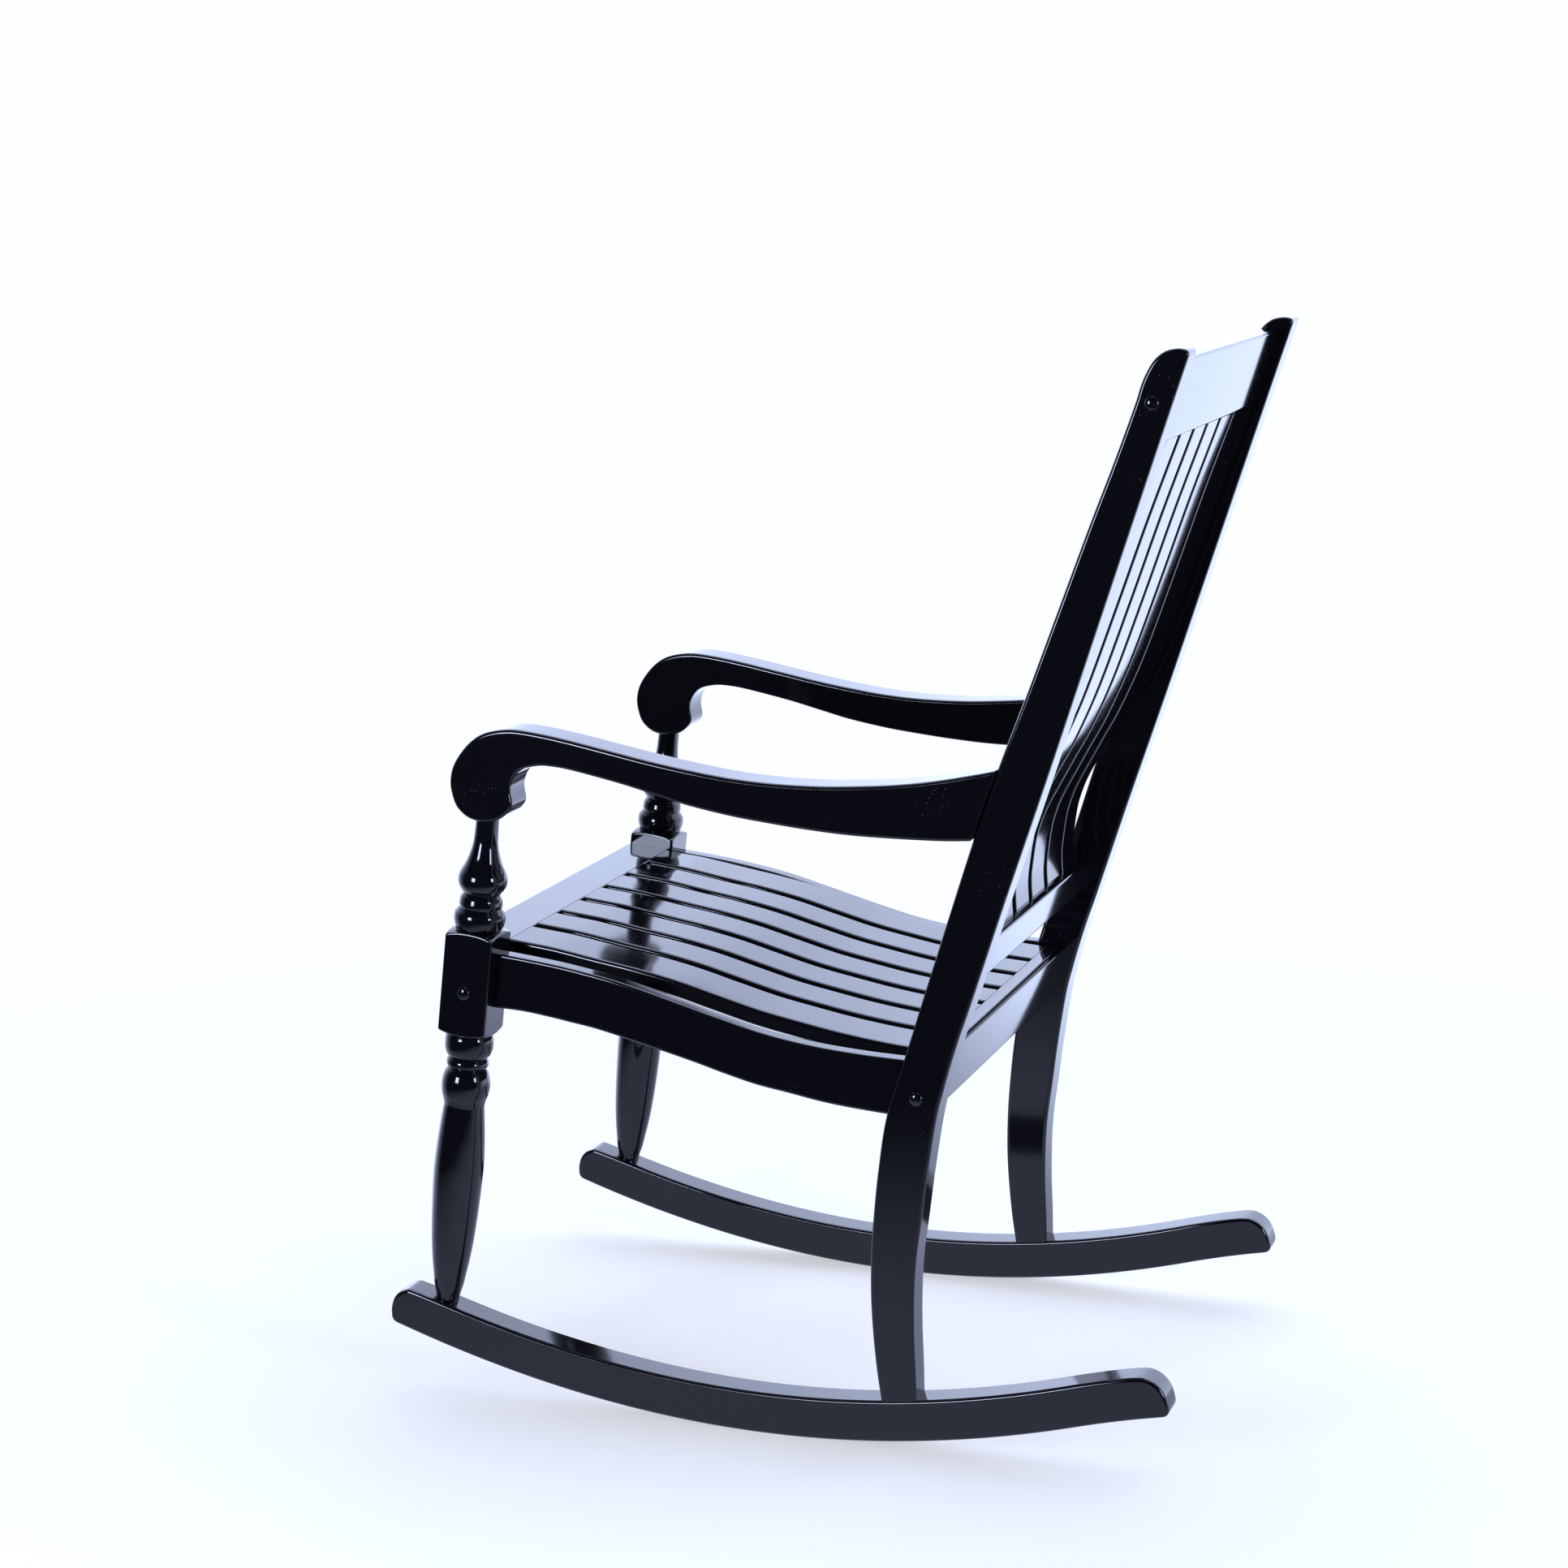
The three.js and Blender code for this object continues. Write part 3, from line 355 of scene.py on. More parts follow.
def floor_curve(y):
    """Height of the rocker's underside: a parabola ahead of the contact, eased by a fourth power
    towards the tip, and another behind it, eased by a square past the start of the tail."""
    tail = np.maximum(y - TAIL_START, 0)
    arc = np.minimum(y, TAIL_START)
    ahead = y ** 2 / (2 * FLOOR_RADIUS) - TIP_EASE * y ** 4
    behind = arc ** 2 / (2 * TAIL_RADIUS) + tail * arc / TAIL_RADIUS - TAIL_EASE * tail ** 2
    return np.where(np.abs(y) < CONTACT_FLAT / 2, 0, np.where(y < 0, ahead, behind))


def rocker_underside(low, high, spacing):
    """Points of the underside between two stations, in mm."""
    y = np.arange(low, high + spacing / 2, spacing, dtype=float)
    return np.stack([y, floor_curve(y)], 1)


def rocker_top():
    """The underside moved up square to itself by the rocker's depth."""
    return drawn(shifted(rocker_underside(-390, 380, 10), ROCKER_DEPTH))


def rocker_outline():
    """Underside in one run, and heel, top and tip in another."""
    under = drawn(rocker_underside(-434, 426, 4))
    heel = drawn([(427.8, 71.2)] + ROCKER_HEEL)
    tip = drawn(ROCKER_TIP + [(-434.8, 76.8)])
    over = rocker_top()[::-1]
    over = over[(over[:, 0] < heel[-1, 0] - 0.01) & (over[:, 0] > tip[0, 0] + 0.01)]
    rim = smooth(np.vstack([heel, over[::3], tip]))
    under = np.vstack([rim[-1], under, rim[0]])
    return outline([under, rim], END_REACH)


def rear_post_outline():
    """Front edge and rear edge, standing on the rocker and rounded over at the crown."""
    front, rear = smooth(drawn(POST_FRONT)), smooth(drawn(POST_REAR))
    top = rocker_top()
    front = front[front[:, 1] > height(top, front[0, 0])]
    rear = rear[rear[:, 1] > height(top, rear[0, 0])]
    foot = [(edge[0, 0], height(top, edge[0, 0]) - POST_FOOT) for edge in (front, rear)]
    front, rear = np.vstack([foot[0], front]), np.vstack([foot[1], rear])
    runs = [front, rear[::-1], np.stack([rear[0], front[0]])]
    return outline(runs, [END_REACH, 0, 0], [1, 1, 0])


def leg_axis():
    """Foot of the front posts' axis in the side plane, and its lean from upright."""
    foot, top = drawn(LEG_AXIS)
    return foot, math.atan2(top[0] - foot[0], top[1] - foot[1])


def block_back(z, block):
    """y of the rear face of the front post's block at a height."""
    foot, lean = leg_axis()
    return foot[0] + (z - foot[1]) * math.tan(lean) + block / 2 / math.cos(lean)


def side_rail_outline(block):
    """Between the block of the front post and the rear post, let into both."""
    top, under = smooth(drawn(RAIL_TOP)), smooth(drawn(RAIL_BOTTOM))
    post = smooth(drawn(POST_FRONT))
    ends = []
    for line in (under, top):
        front = block_back(line[0, 1], block) - LET_IN
        rear = level(post, line[-1, 1]) + LET_IN
        line = np.vstack([line, [rear + 0.02, line[-1, 1]]])
        inside = line[(line[:, 0] > front) & (line[:, 0] < rear)]
        ends.append(np.vstack([[front, height(line, front)], inside, [rear, height(line, rear)]]))
    under, top = ends
    runs = [under, np.stack([under[-1], top[-1]]), top[::-1], np.stack([top[0], under[0]])]
    return outline(runs, 0, [1, 0, 1, 0])


def arm_outline():
    """Crowned top and scroll in one run, the crook and underside in another, and the rear end cut
    to the post."""
    post = smooth(drawn(POST_FRONT))
    top, under = smooth(drawn(ARM_TOP), 0.0025), smooth(drawn(ARM_CROOK), 0.0025)
    top = top[top[:, 0] < level(post, top[:, 1]) - CLEARANCE]
    under = under[under[:, 0] < level(post, under[:, 1]) - CLEARANCE]
    z = np.linspace(under[-1, 1], top[0, 1], 12)
    end = np.stack([level(post, z), z], 1)
    end[0], end[-1] = under[-1], top[0]
    return outline([top, under, end], [0.006, 0, 0], [1, 1, 0.3])


def seat_line():
    """Surface of the seat from the slats' front ends to its back edge."""
    return smooth(drawn(SEAT_TOP))


def stations(*drawn_y):
    """Places along the chair, as y in the frame."""
    return drawn([(y, 0) for y in drawn_y])[:, 0]


def seat_section(start, end, thick):
    """Stretch of the seat surface and the same line moved down by the thickness."""
    top = seat_line()
    inner = top[(top[:, 0] > start) & (top[:, 0] < end)]
    top = np.vstack([[start, height(top, start)], inner, [end, height(top, end)]])
    under = shifted(top, -thick)
    under[0, 0], under[-1, 0] = start, end
    return top, under


def seat_slat_outline(thick):
    """Dipped slat, cut upright at both ends."""
    top, under = seat_section(*stations(SLAT_START, SLAT_END), thick)
    runs = [under, np.stack([under[-1], top[-1]]), top[::-1], np.stack([top[0], under[0]])]
    return outline(runs, 0, [1, 0.3, 1, 0.3])


def leaning(ends, z, forward=0.0):
    """Point of a straight leaning face at a height, moved forward by a distance."""
    (y0, z0), (y1, z1) = drawn(ends)
    return y0 + (y1 - y0) * (z - z0) / (z1 - z0) - forward, z


def strip_outline(thick):
    """Cross strip that closes the slats at the back of the seat, leaning with the lip behind it."""
    top, under = seat_section(*stations(SLAT_END, SEAT_BACK), thick)
    for line in (top, under):
        line[-1] = leaning(APRON, line[-1, 1], LIP + CLEARANCE)
    runs = [under, np.stack([under[-1], top[-1]]), top[::-1], np.stack([top[0], under[0]])]
    return outline(runs, 0.0012)


def polygon(corners, reaches):
    """Closed outline of straight sides between corners."""
    corners = np.asarray(corners, float)
    return outline([np.stack(pair) for pair in zip(corners, np.roll(corners, -1, axis=0))], reaches)


def front_board_outline():
    """Board that climbs a little to a rounded nose."""
    nose = drawn([SEAT_FRONT])[0]
    back = drawn(SEAT_TOP[:1])[0]
    down = np.array([0, BOARD_THICK])
    return polygon([nose, nose - down, back - down, back], [0.0085, 0.002, 0.0015, 0.0085])


def raked(ends, thick):
    """Section of a rail whose rear face follows the rake of the posts."""
    (yb, zb), (yt, zt) = drawn(ends)
    return [(yb - thick, zb), (yb, zb), (yt, zt), (yt - thick, zt)]


def rear_apron_outline(thick, seat_thick):
    """Leaning rail, rebated along its top so that the seat drops in against a lip."""
    bottom, top = drawn(APRON)[:, 1]
    ledge = height(seat_line(), stations(SEAT_BACK)[0]) - seat_thick - CLEARANCE
    corners = [leaning(APRON, ledge, thick), leaning(APRON, bottom, thick), leaning(APRON, bottom),
               leaning(APRON, top), leaning(APRON, top, LIP), leaning(APRON, ledge, LIP)]
    return polygon(corners, [0.0035, 0.0035, 0.0013, 0.0008, 0.0008, 0.0008])


def back_slat_outline(thick):
    """Rear face of a slat, and its front face moved forward by the thickness."""
    rear = smooth(drawn(BACK_SLAT_REAR))
    low, high = drawn([(0, 510), (0, 1060)])[:, 1]
    rear = rear[(rear[:, 1] > low) & (rear[:, 1] < high)]
    front = shifted(rear, thick)
    runs = [rear, np.stack([rear[-1], front[-1]]), front[::-1], np.stack([front[0], rear[0]])]
    return outline(runs, 0, [1, 0, 1, 0], 0.005)


# ------------------------------------------------------------------------------- front posts

BLOCK_ENDS = (405.5, 519.5)
BLOCK_CORNER = 3.2  # how far back from an upright edge its rounding starts
DOME_RADIUS = 24.0
SHOULDER_ROUND = (1.5, 2.4)  # how far a shoulder's round runs in over the dome, and down the face
SIDE_COLUMNS = 13
SIDE_SPREAD = 0.72  # half the angle that the columns of one side take

# Turned members from the foot up, as (radius, height), each a smooth curve that meets the next
# one in a sharp groove.
LEG_MEMBERS = [
    [(12.4, 98), (13.0, 108), (15.8, 120), (18.0, 134), (20.6, 151), (23.0, 173), (25.3, 207),
     (26.9, 250), (25.8, 282), (24.1, 304), (22.0, 325.5)],
    [(22.0, 325.5), (23.2, 331), (25.7, 339), (26.5, 347.5), (25.5, 355.7), (23.3, 362),
     (19.9, 366.8)],
    [(19.9, 366.8), (22.4, 369.2), (22.9, 372), (22.4, 374.8), (20.6, 378)],
    [(20.6, 378), (24.0, 382.2), (26.1, 388), (26.5, 394.5), (26.0, 401), (24.2, 405.5)],
]
ARM_POST_MEMBERS = [
    [(24.2, 519.5), (26.6, 524.5), (27.8, 531), (27.1, 537), (25.0, 540.2), (22.4, 543.6)],
    [(22.4, 543.6), (23.3, 546.6), (23.0, 550), (22.2, 554), (19.7, 558)],
    [(19.7, 558), (22.3, 562), (24.6, 565.3), (26.3, 570), (26.3, 576), (24.8, 581.4),
     (21.1, 588.5), (18.6, 594), (16.0, 602), (14.3, 609), (13.3, 616), (12.7, 628), (12.5, 650)],
]


def turned(members):
    """Radius and height of turned members, smoothed one by one, in mm."""
    return np.vstack([smooth(member, 1.0)[1 if i else 0:] for i, member in enumerate(members)])


def dome_drop(radius):
    """How far a block's domed shoulder has fallen at a radius, in mm."""
    out = radius - DOME_RADIUS
    return 0.165 * out + 0.0135 * out ** 2


def block_rows(square, low, high):
    """Rows of radius and height over the block. Each shoulder is a dome from its middle out to
    the square, then a small round onto the faces of the square, all along the true edge."""
    v = np.linspace(0, 1, 9)[:, None]
    t = np.linspace(0, 1, 7)[:, None]
    inward, down = SHOULDER_ROUND
    radius = DOME_RADIUS + v * (square[None] - inward - DOME_RADIUS)
    dome = np.stack([radius, dome_drop(radius)], -1)
    corner = np.stack([square, dome_drop(square)], -1)
    face = corner + np.array([0, down])
    bend = (1 - t[..., None]) ** 2 * dome[-1] + 2 * (t * (1 - t))[..., None] * corner
    bend = bend + (t ** 2)[..., None] * face
    shoulder = np.concatenate([dome, bend[1:]])
    lower = shoulder + np.array([0, low])
    upper = shoulder[::-1] * np.array([1, -1]) + np.array([0, high])
    return np.concatenate([lower, upper])


def block_columns(half, reach):
    """Angle and radius of each column of the front post: stations along a side of the square in
    proportion to the tangent of evenly spaced angles, then a parabola round the corner."""
    spread = np.tan(np.linspace(-SIDE_SPREAD, SIDE_SPREAD, SIDE_COLUMNS))
    side = np.stack([np.full(SIDE_COLUMNS, half), (half - reach) * spread / spread[-1]], 1)
    t = np.linspace(0, 1, 10)[1:-1, None]
    bend = (1 - t) ** 2 * side[-1] + 2 * t * (1 - t) * half + t ** 2 * side[-1, ::-1]
    quarter = np.vstack([side, bend])
    angle = np.arctan2(quarter[:, 1], quarter[:, 0]) + np.arange(4)[:, None] * math.pi / 2
    return angle.ravel(), np.tile(np.linalg.norm(quarter, axis=1), 4)


def front_post(block):
    """Turned members round the leaning axis, with the block's rounded square between them: radius
    as a function of the angle and of the height along the axis."""
    angle, reach = block_columns(block / MM / 2, BLOCK_CORNER)
    flat = np.ones_like(angle)

    def rows_of(members):
        return turned(members)[:, None, :] * flat[None, :, None]

    rows = np.concatenate([
        rows_of(LEG_MEMBERS), block_rows(reach, *BLOCK_ENDS), rows_of(ARM_POST_MEMBERS)])
    radius, up = rows[..., 0] * MM, rows[..., 1]
    foot, lean = leg_axis()
    up = up * (CAD_BOX[1].z - CAD_BOX[0].z) / DRAWN_HEIGHT / math.cos(lean)
    base = foot[0] - foot[1] * math.tan(lean)
    x = radius * np.cos(angle)
    y = base + radius * np.sin(angle) * math.cos(lean) + up * math.sin(lean)
    z = up * math.cos(lean) - radius * np.sin(angle) * math.sin(lean)
    return np.stack([x, y, z], -1)


# ------------------------------------------------------------------------------- finishes


class Wire:
    """A socket of a finish. Arithmetic on it adds Math nodes."""

    def __init__(self, tree, socket):
        self.tree = tree
        self.socket = socket

    def math(self, operation, *values):
        settings = {"operation": operation}
        return Recipe(self.tree).node("ShaderNodeMath", settings, dict(enumerate(values)))

    def __add__(self, other):
        return self.math("ADD", self, other)

    def __sub__(self, other):
        return self.math("SUBTRACT", self, other)

    def __mul__(self, other):
        return self.math("MULTIPLY", self, other)

    def __rsub__(self, other):
        return self.math("SUBTRACT", other, self)

    __radd__ = __add__
    __rmul__ = __mul__


class Recipe:
    """Adds nodes to a node tree."""

    def __init__(self, tree):
        self.tree = tree

    def node(self, kind, settings=None, inputs=None, output=0):
        """A node of a type: its settings are set first, then the values or links of its sockets."""
        made = self.tree.nodes.new(kind)
        for key, value in (settings or {}).items():
            setattr(made, key, value)
        for key, value in (inputs or {}).items():
            if isinstance(value, Wire):
                self.tree.links.new(value.socket, made.inputs[key])
            else:
                made.inputs[key].default_value = value
        return Wire(self.tree, made.outputs[output])

    def close(self, shader, kind="ShaderNodeOutputMaterial"):
        """Links a shader to the output of the tree."""
        self.tree.links.new(shader.socket, self.tree.nodes.new(kind).inputs[0])


def new_finish(name):
    """An empty material and the recipe that fills it."""
    finish = bpy.data.materials.new(name)
    finish.use_nodes = True
    finish.node_tree.nodes.clear()
    return finish, Recipe(finish.node_tree)


def noise(recipe, place, scale, detail=2.0, output="Fac"):
    inputs = {"Vector": place, "Scale": scale, "Detail": detail, "Roughness": 0.55}
    return recipe.node("ShaderNodeTexNoise", {}, inputs, output)


def stretched(recipe, place, scale):
    """Coordinates scaled along each axis, so that a pattern is drawn out along the grain."""
    return recipe.node("ShaderNodeMapping", {}, {"Vector": place, "Scale": scale})


def ramp(recipe, value, low, high):
    """Zero below one value and one above another, with an eased climb between."""
    settings = {"interpolation_type": "SMOOTHSTEP"}
    inputs = {"Value": value, "From Min": low, "From Max": high}
    return recipe.node("ShaderNodeMapRange", settings, inputs)


def mixed(recipe, factor, a, b):
    """Colour between two colours."""
    inputs = {0: factor, 6: a, 7: b}
    return recipe.node("ShaderNodeMix", {"data_type": "RGBA"}, inputs, output=2)


def lacquer_finish(name, colours, grain):
    """Polished black lacquer over close-grained wood: an orange peel of some 2 mm, a slow wave in
    the film, faint grain telegraphed along the piece, haze that varies, and specks of dust."""
    finish, recipe = new_finish(name)
    place = recipe.node("ShaderNodeTexCoord", output="Object")
    along = stretched(recipe, place, grain)
    peel = noise(recipe, place, 420, 1.0)
    wave = noise(recipe, place, 22, 0.0)
    fibres = noise(recipe, along, 60, 3.0)
    haze = noise(recipe, place, 9, 3.0)
    seeds = recipe.node("ShaderNodeTexVoronoi", {}, {"Vector": place, "Scale": 260}, "Distance")
    patches = ramp(recipe, noise(recipe, place, 14, 2.0), 0.60, 0.72)
    specks = (1 - ramp(recipe, seeds, 0.05, 0.11)) * patches
    colour = mixed(recipe, specks * 0.55, (*colours.lacquer, 1), (*colours.dust, 1))
    roughness = colours.gloss + 0.035 * haze + 0.02 * fibres + 0.4 * specks
    film = 1e-7 * peel + 3e-6 * wave + 2e-7 * fibres
    relief = recipe.node("ShaderNodeBump", {}, {"Strength": 1.0, "Distance": 1.0, "Height": film})
    shader = recipe.node("ShaderNodeBsdfPrincipled", {}, {
        "Base Color": colour, "Roughness": roughness, "Normal": relief, "IOR": 1.52})
    recipe.close(shader)
    return finish


def steel_finish(colours):
    """Turned steel: fine rings left by the tool, and a dull film in patches."""
    finish, recipe = new_finish("turned_steel")
    place = recipe.node("ShaderNodeTexCoord", output="Object")
    rings = noise(recipe, stretched(recipe, place, (9, 1, 1)), 240, 2.0)
    film = noise(recipe, place, 90, 3.0)
    colour = mixed(recipe, film * 0.4, (*colours.steel, 1), (0.22, 0.21, 0.20, 1))
    relief = recipe.node(
        "ShaderNodeBump", {}, {"Strength": 1.0, "Distance": 1.0, "Height": 1.5e-5 * rings})
    shader = recipe.node("ShaderNodeBsdfPrincipled", {}, {
        "Base Color": colour, "Metallic": 1.0, "Roughness": 0.24 + 0.2 * film, "Normal": relief})
    recipe.close(shader)
    return finish


FINISHES = {
    "across": (0.08, 1, 1),
    "lengthwise": (1, 0.08, 1),
    "upright": (1, 1, 0.08),
}


def lacquer(grain):
    """The lacquer with its grain across, lengthwise or upright, made on first use."""
    name = f"black_lacquer_{grain}"
    colours = bpy.context.scene.chair_colours
    return bpy.data.materials.get(name) or lacquer_finish(name, colours, FINISHES[grain])


# ------------------------------------------------------------------------------- operators


class MakeRockers(bpy.types.Operator):
    """Two sawn rockers, deep-sectioned and rounded on their long edges"""

    bl_idname = "chair.make_rockers"
    bl_label = "Rockers"

    def execute(self, context):
        sizes = context.scene.chair_sizes
        half = sizes.rocker_width / 2
        shape = rocker_outline()
        for _, label in SIDES:
            centre = middle_of(f"rocker_{label}")
            rows = board(shape, centre - half, centre + half, sizes.edge)
            piece(f"rocker_{label}_wood", rows, lacquer("lengthwise"), [f"rocker_{label}"])
        return {"FINISHED"}


class MakeRearPosts(bpy.types.Operator):
    """Two swept rear posts that stand on the rockers and carry the back"""

    bl_idname = "chair.make_rear_posts"
    bl_label = "Rear posts"

    def execute(self, context):
        sizes = context.scene.chair_sizes
        half = sizes.post_width / 2
        shape = rear_post_outline()
        for side, label in SIDES:
            low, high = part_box(f"rear_post_{label}")
            centre = side * (max(abs(low.x), abs(high.x)) - half)
            rows = board(shape, centre - half, centre + half, sizes.edge)
            piece(f"rear_post_{label}_wood", rows, lacquer("upright"), [f"rear_post_{label}"])
        return {"FINISHED"}


class MakeFrontPosts(bpy.types.Operator):
    """Two turned front posts with a square block at the seat"""

    bl_idname = "chair.make_front_posts"
    bl_label = "Front posts"

    def execute(self, context):
        shape = front_post(context.scene.chair_sizes.block)
        for _, label in SIDES:
            rows = shape + np.array([middle_of(f"front_post_{label}"), 0, 0])
            piece(f"front_post_{label}_wood", rows, lacquer("upright"), [f"front_post_{label}"])
        return {"FINISHED"}


class MakeArms(bpy.types.Operator):
    """Two arms that sweep forward into a scroll over the front posts"""

    bl_idname = "chair.make_arms"
    bl_label = "Arms"

    def execute(self, context):
        sizes = context.scene.chair_sizes
        half = sizes.arm_width / 2
        shape = arm_outline()
        for _, label in SIDES:
            centre = middle_of(f"arm_{label}")
            rows = board(shape, centre - half, centre + half, sizes.edge)
            piece(f"arm_{label}_wood", rows, lacquer("lengthwise"), [f"arm_{label}"])
        return {"FINISHED"}


class MakeSideRails(bpy.types.Operator):
    """Two side rails that follow the dip of the seat"""

    bl_idname = "chair.make_side_rails"
    bl_label = "Side rails"

    def execute(self, context):
        sizes = context.scene.chair_sizes
        half = sizes.rail_width / 2
        shape = side_rail_outline(sizes.block)
        for _, label in SIDES:
            centre = middle_of(f"side_rail_{label}")
            rows = board(shape, centre - half, centre + half, sizes.edge - MM)
            piece(f"side_rail_{label}_wood", rows, lacquer("lengthwise"), [f"side_rail_{label}"])
        return {"FINISHED"}


class MakeSeat(bpy.types.Operator):
    """Front board, seven slats and the strip that closes them at the back"""

    bl_idname = "chair.make_seat"
    bl_label = "Seat"

    def execute(self, context):
        sizes = context.scene.chair_sizes
        low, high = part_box("seat_front_board")
        rows = board(front_board_outline(), low.x, high.x)
        piece("seat_front_board_wood", rows, lacquer("across"), ["seat_front_board"])
        low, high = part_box("seat_rear_strip")
        rows = board(strip_outline(sizes.seat_slat), low.x, high.x)
        piece("seat_rear_strip_wood", rows, lacquer("across"), ["seat_rear_strip"])
        shape = seat_slat_outline(sizes.seat_slat)
        for node in sorted(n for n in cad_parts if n.startswith("seat_slat_")):
            low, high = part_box(node)
            rows = board(shape, low.x, high.x, sizes.edge)
            piece(f"{node}_wood", rows, lacquer("lengthwise"), [node])
        return {"FINISHED"}


class MakeAprons(bpy.types.Operator):
    """Front apron under the seat board, and rear apron rebated for the seat"""

    bl_idname = "chair.make_aprons"
    bl_label = "Aprons"

    def execute(self, context):
        sizes = context.scene.chair_sizes
        low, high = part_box("front_apron")
        foot, lean = leg_axis()
        half = FRONT_APRON_THICK / 2
        y = foot[0] + (low.z - foot[1]) * math.tan(lean)
        rise = (high.z - low.z) * math.tan(lean)
        corners = [(y - half, low.z), (y + half, low.z),
                   (y + half + rise, high.z), (y - half + rise, high.z)]
        rows = board(polygon(corners, 0.0035), low.x, high.x)
        piece("front_apron_wood", rows, lacquer("across"), ["front_apron"])

        low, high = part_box("rear_apron")
        shape = rear_apron_outline(sizes.apron, sizes.seat_slat)
        rows = board(shape, low.x - LET_IN, high.x + LET_IN)
        piece("rear_apron_wood", rows, lacquer("across"), ["rear_apron"])
        return {"FINISHED"}


class MakeBackRails(bpy.types.Operator):
    """Crest rail and lower back rail between the rear posts"""

    bl_idname = "chair.make_back_rails"
    bl_label = "Back rails"

    def execute(self, context):
        low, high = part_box("crest_rail")
        rails = (("crest_rail", CREST, 0.0045), ("lower_back_rail", LOWER_RAIL, 0.004))
        for node, ends, reach in rails:
            shape = polygon(raked(ends, RAIL_THICK), reach)
            rows = board(shape, low.x - LET_IN, high.x + LET_IN)
            piece(f"{node}_wood", rows, lacquer("across"), [node])
        return {"FINISHED"}


class MakeBackSlats(bpy.types.Operator):
    """Seven bent slats between the lower rail and the crest"""

    bl_idname = "chair.make_back_slats"
    bl_label = "Back slats"

    def execute(self, context):
        sizes = context.scene.chair_sizes
        shape = back_slat_outline(sizes.back_slat)
        for node in sorted(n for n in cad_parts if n.startswith("back_slat_")):
            low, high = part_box(node)
            rows = board(shape, low.x, high.x, sizes.slat_edge)
            piece(f"{node}_wood", rows, lacquer("upright"), [node])
        return {"FINISHED"}


class MakePlugs(bpy.types.Operator):
    """Six domed plugs that cover the bolt heads"""

    bl_idname = "chair.make_plugs"
    bl_label = "Plugs"

    def execute(self, context):
        angle = np.linspace(0, 2 * math.pi, 48, endpoint=False)[None]
        bow = np.linspace(0, math.pi / 2 - 0.02, 14)
        for joint in JOINTS:
            for side, label in SIDES:
                node = f"plug_{joint}_{label}"
                low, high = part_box(node)
                y, z = (low.y + high.y) / 2, (low.z + high.z) / 2
                radius = (high.z - low.z) / 2
                rim = max(abs(low.x), abs(high.x)) - PLUG_DOME
                shank = [rim - PLUG_SOCKET, rim - 0.4 * MM]
                r = np.concatenate([[radius - MM, radius - MM], radius * np.cos(bow)])[:, None]
                x = np.concatenate([shank, rim + PLUG_DOME * np.sin(bow)])[:, None]
                rows = np.stack([side * x + 0 * angle, y + r * np.cos(angle) * side,
                                 z + r * np.sin(angle)], -1)
                piece(f"{node}_wood", rows, lacquer("upright"), [node])
        return {"FINISHED"}


class FinishBolts(bpy.types.Operator):
    """Steel finish for the bolts and barrel nuts inside the joints"""

    bl_idname = "chair.finish_bolts"
    bl_label = "Bolts and nuts"

    def execute(self, context):
        steel = steel_finish(context.scene.chair_colours)
        for node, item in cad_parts.items():
            if node.startswith(("bolt_", "nut_")):
                item.data.materials.clear()
                item.data.materials.append(steel)
        return {"FINISHED"}


# ------------------------------------------------------------------------------- stage

WHITE = (0.985, 0.992, 0.998, 1)
FLOOR_REACH = 14
FLOOR_FADE = (0.8, 2.4)  # distances between which the cloth turns to plain white
# The sheen is a painted reflection: a glowing sheet that only the lacquer's reflections see.
SHEEN_REACH = 2.0
SHEEN_FADE = (0.5, 1.6)  # distances between which the glow dies away
CAMERA_AT = (3.5977, 1.1237, 1.3707)
CAMERA_WAY = Vector((-0.93142, -0.31103, -0.18900))


def lamp(name, azimuth, elevation, distance, target, size, radiance, colour):
    """Soft box on a circle round the chair, aimed at it, of an even radiance. Azimuth is 0 at the
    chair's front and 90 degrees at its left."""
    light = bpy.data.lights.new(name, "AREA")
    light.shape = "RECTANGLE"
    light.size, light.size_y = size
    light.energy = radiance * math.pi * size[0] * size[1]
    light.color = colour
    item = bpy.data.objects.new(name, light)
    a, e = math.radians(azimuth), math.radians(elevation)
    way = Vector((math.sin(a) * math.cos(e), -math.cos(a) * math.cos(e), math.sin(e)))
    item.location = Vector(target) + way * distance
    item.rotation_euler = (-way).to_track_quat("-Z", "Y").to_euler()
    item.visible_camera = False
    bpy.context.scene.collection.objects.link(item)


def sheet(name, reach, z, finish):
    """Square of floor that reaches as far as given on every side of the chair."""
    mesh = bpy.data.meshes.new(name)
    corners = [(-reach, -reach, z), (reach, -reach, z), (reach, reach, z), (-reach, reach, z)]
    mesh.from_pydata(corners, [], [(0, 1, 2, 3)])
    mesh.materials.append(finish)
    made = bpy.data.objects.new(name, mesh)
    bpy.context.scene.collection.objects.link(made)
    return made


def white_floor(colours):
    """Pale cloth under the chair that turns to plain white further off."""
    finish, recipe = new_finish("white_floor")
    place = recipe.node("ShaderNodeTexCoord", output="Object")
    tone = noise(recipe, place, 2.0, 3.0)
    colour = mixed(recipe, tone * 0.06, (*colours.floor, 1), (0.80, 0.82, 0.88, 1))
    cloth = recipe.node("ShaderNodeBsdfDiffuse", {}, {"Color": colour})
    glow = recipe.node("ShaderNodeEmission", {}, {"Color": WHITE, "Strength": 1.0})
    away = recipe.node("ShaderNodeVectorMath", {"operation": "LENGTH"}, {0: place}, "Value")
    far = 0.5 + 0.5 * ramp(recipe, away, *FLOOR_FADE)
    recipe.close(recipe.node("ShaderNodeMixShader", {}, {0: far, 1: cloth, 2: glow}))
    floor = sheet("studio_floor", FLOOR_REACH, 0, finish)
    floor.visible_glossy = False
    return floor


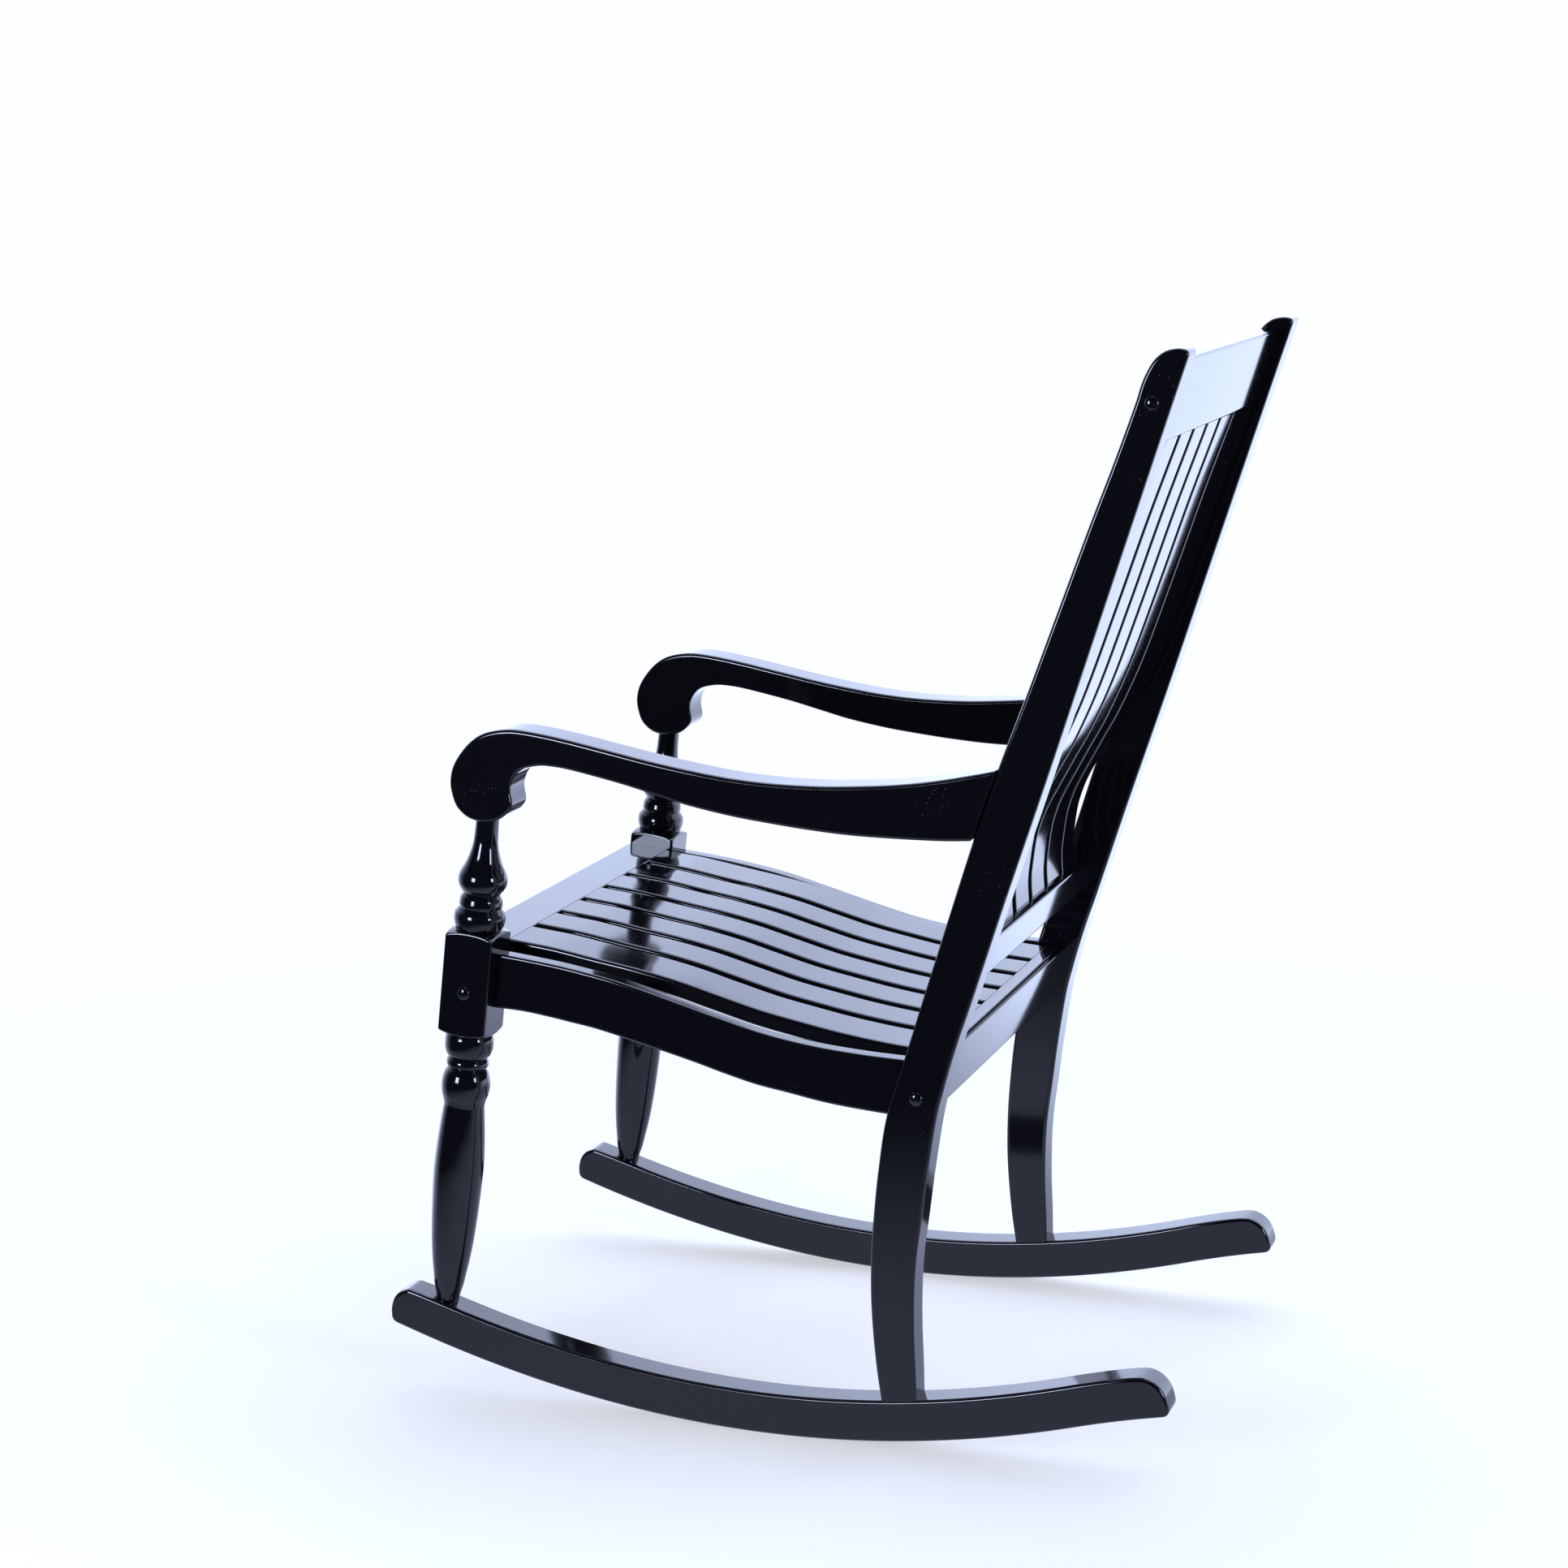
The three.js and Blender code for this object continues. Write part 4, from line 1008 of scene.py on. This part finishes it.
def painted_floor_reflection():
    """Painted reflection of the floor, which polished faces see in place of the floor: a sheet that glows
    slate blue beside the chair and dies away, though it is no lamp.
    """
    finish, recipe = new_finish("painted_floor_reflection")
    place = recipe.node("ShaderNodeTexCoord", output="Object")
    away = recipe.node("ShaderNodeVectorMath", {"operation": "LENGTH"}, {0: place}, "Value")
    # Painted reflection: an emission that stands in for the lit floor seen in the lacquer.
    glow = recipe.node("ShaderNodeEmission", {}, {"Color": (0.62, 0.71, 1.0, 1), "Strength": 0.9})
    clear = recipe.node("ShaderNodeBsdfTransparent")
    far = ramp(recipe, away, *SHEEN_FADE)
    recipe.close(recipe.node("ShaderNodeMixShader", {}, {0: far, 1: glow, 2: clear}))
    sheen = sheet("painted_floor_reflection", SHEEN_REACH, 0.5 * MM, finish)
    sheen.visible_camera = False
    sheen.visible_diffuse = False
    sheen.visible_shadow = False
    return sheen


def set_surround(scene):
    """The room as the chair sees it: a bright sweep on the chair's right, a dark room on its left,
    and plain white wherever it is looked at directly."""
    world = bpy.data.worlds.new("studio")
    scene.world = world
    world.use_nodes = True
    tree = world.node_tree
    tree.nodes.clear()
    recipe = Recipe(tree)
    way = recipe.node("ShaderNodeTexCoord", output="Generated")
    x = recipe.node("ShaderNodeSeparateXYZ", {}, {0: way}, "X")
    bright = ramp(recipe, 0 - x, -0.35, 0.55)
    strength = 0.02 + 2.8 * bright
    seen = recipe.node("ShaderNodeLightPath", output="Is Camera Ray")
    strength = strength * (1 - seen) + 1.0 * seen
    colour = mixed(recipe, seen, (0.64, 0.73, 1.0, 1), WHITE)
    light = recipe.node("ShaderNodeBackground", {}, {"Color": colour, "Strength": strength})
    recipe.close(light, "ShaderNodeOutputWorld")


def set_camera(scene):
    """Long lens beyond the chair's left, a little behind it and above its arms."""
    camera = bpy.data.cameras.new("camera")
    camera.lens = 80.12
    camera.sensor_width = 36
    camera.clip_end = 60
    item = bpy.data.objects.new("camera", camera)
    item.location = CAMERA_AT
    item.rotation_euler = CAMERA_WAY.to_track_quat("-Z", "Y").to_euler()
    scene.collection.objects.link(item)
    scene.camera = item


class SetStage(bpy.types.Operator):
    """White floor and surround, soft boxes and the camera"""

    bl_idname = "chair.set_stage"
    bl_label = "Stage"

    def execute(self, context):
        scene = context.scene
        floor = white_floor(scene.chair_colours)
        # Glowing sheet that paints the floor's reflection into the lacquer.
        painted_floor_reflection()
        set_surround(scene)
        middle = (0, 0, 0.55)
        tint = (0.66, 0.74, 1.0)
        lamp("tall_box", 66, 10, 3.4, middle, (0.78, 1.1), 26, tint)
        lamp("narrow_box", 152, 10, 3.4, middle, (0.62, 1.1), 22, tint)
        lamp("overhead_box", 250, 72, 3.2, middle, (3.4, 3.4), 1.2, tint)
        set_camera(scene)
        scene.view_settings.view_transform = "Standard"
        return {"FINISHED"}


# ------------------------------------------------------------------------------- panel and main

MAKERS = (MakeRockers, MakeRearPosts, MakeFrontPosts, MakeArms, MakeSideRails, MakeSeat, MakeAprons,
          MakeBackRails, MakeBackSlats, MakePlugs, FinishBolts, SetStage)


class ChairPanel(bpy.types.Panel):
    """Sizes, colours and makers of the rocking chair"""

    bl_idname = "VIEW3D_PT_rocking_chair"
    bl_label = "Rocking Chair"
    bl_space_type = "VIEW_3D"
    bl_region_type = "UI"
    bl_category = "Rocking Chair"

    def draw(self, context):
        for group in (context.scene.chair_sizes, context.scene.chair_colours):
            box = self.layout.box()
            for name in group.bl_rna.properties.keys():
                if name not in ("rna_type", "name"):
                    box.prop(group, name)
        for maker in MAKERS:
            self.layout.operator(maker.bl_idname)


CLASSES = (ChairSizes, ChairColours, *MAKERS, ChairPanel)


def register():
    for item in CLASSES:
        bpy.utils.register_class(item)
    bpy.types.Scene.chair_sizes = PointerProperty(type=ChairSizes)
    bpy.types.Scene.chair_colours = PointerProperty(type=ChairColours)


def unregister():
    del bpy.types.Scene.chair_colours
    del bpy.types.Scene.chair_sizes
    for item in reversed(CLASSES):
        bpy.utils.unregister_class(item)


def main():
    register()
    for maker in MAKERS:
        group, call = maker.bl_idname.split(".")
        getattr(getattr(bpy.ops, group), call)()


if __name__ == "__main__":
    main()
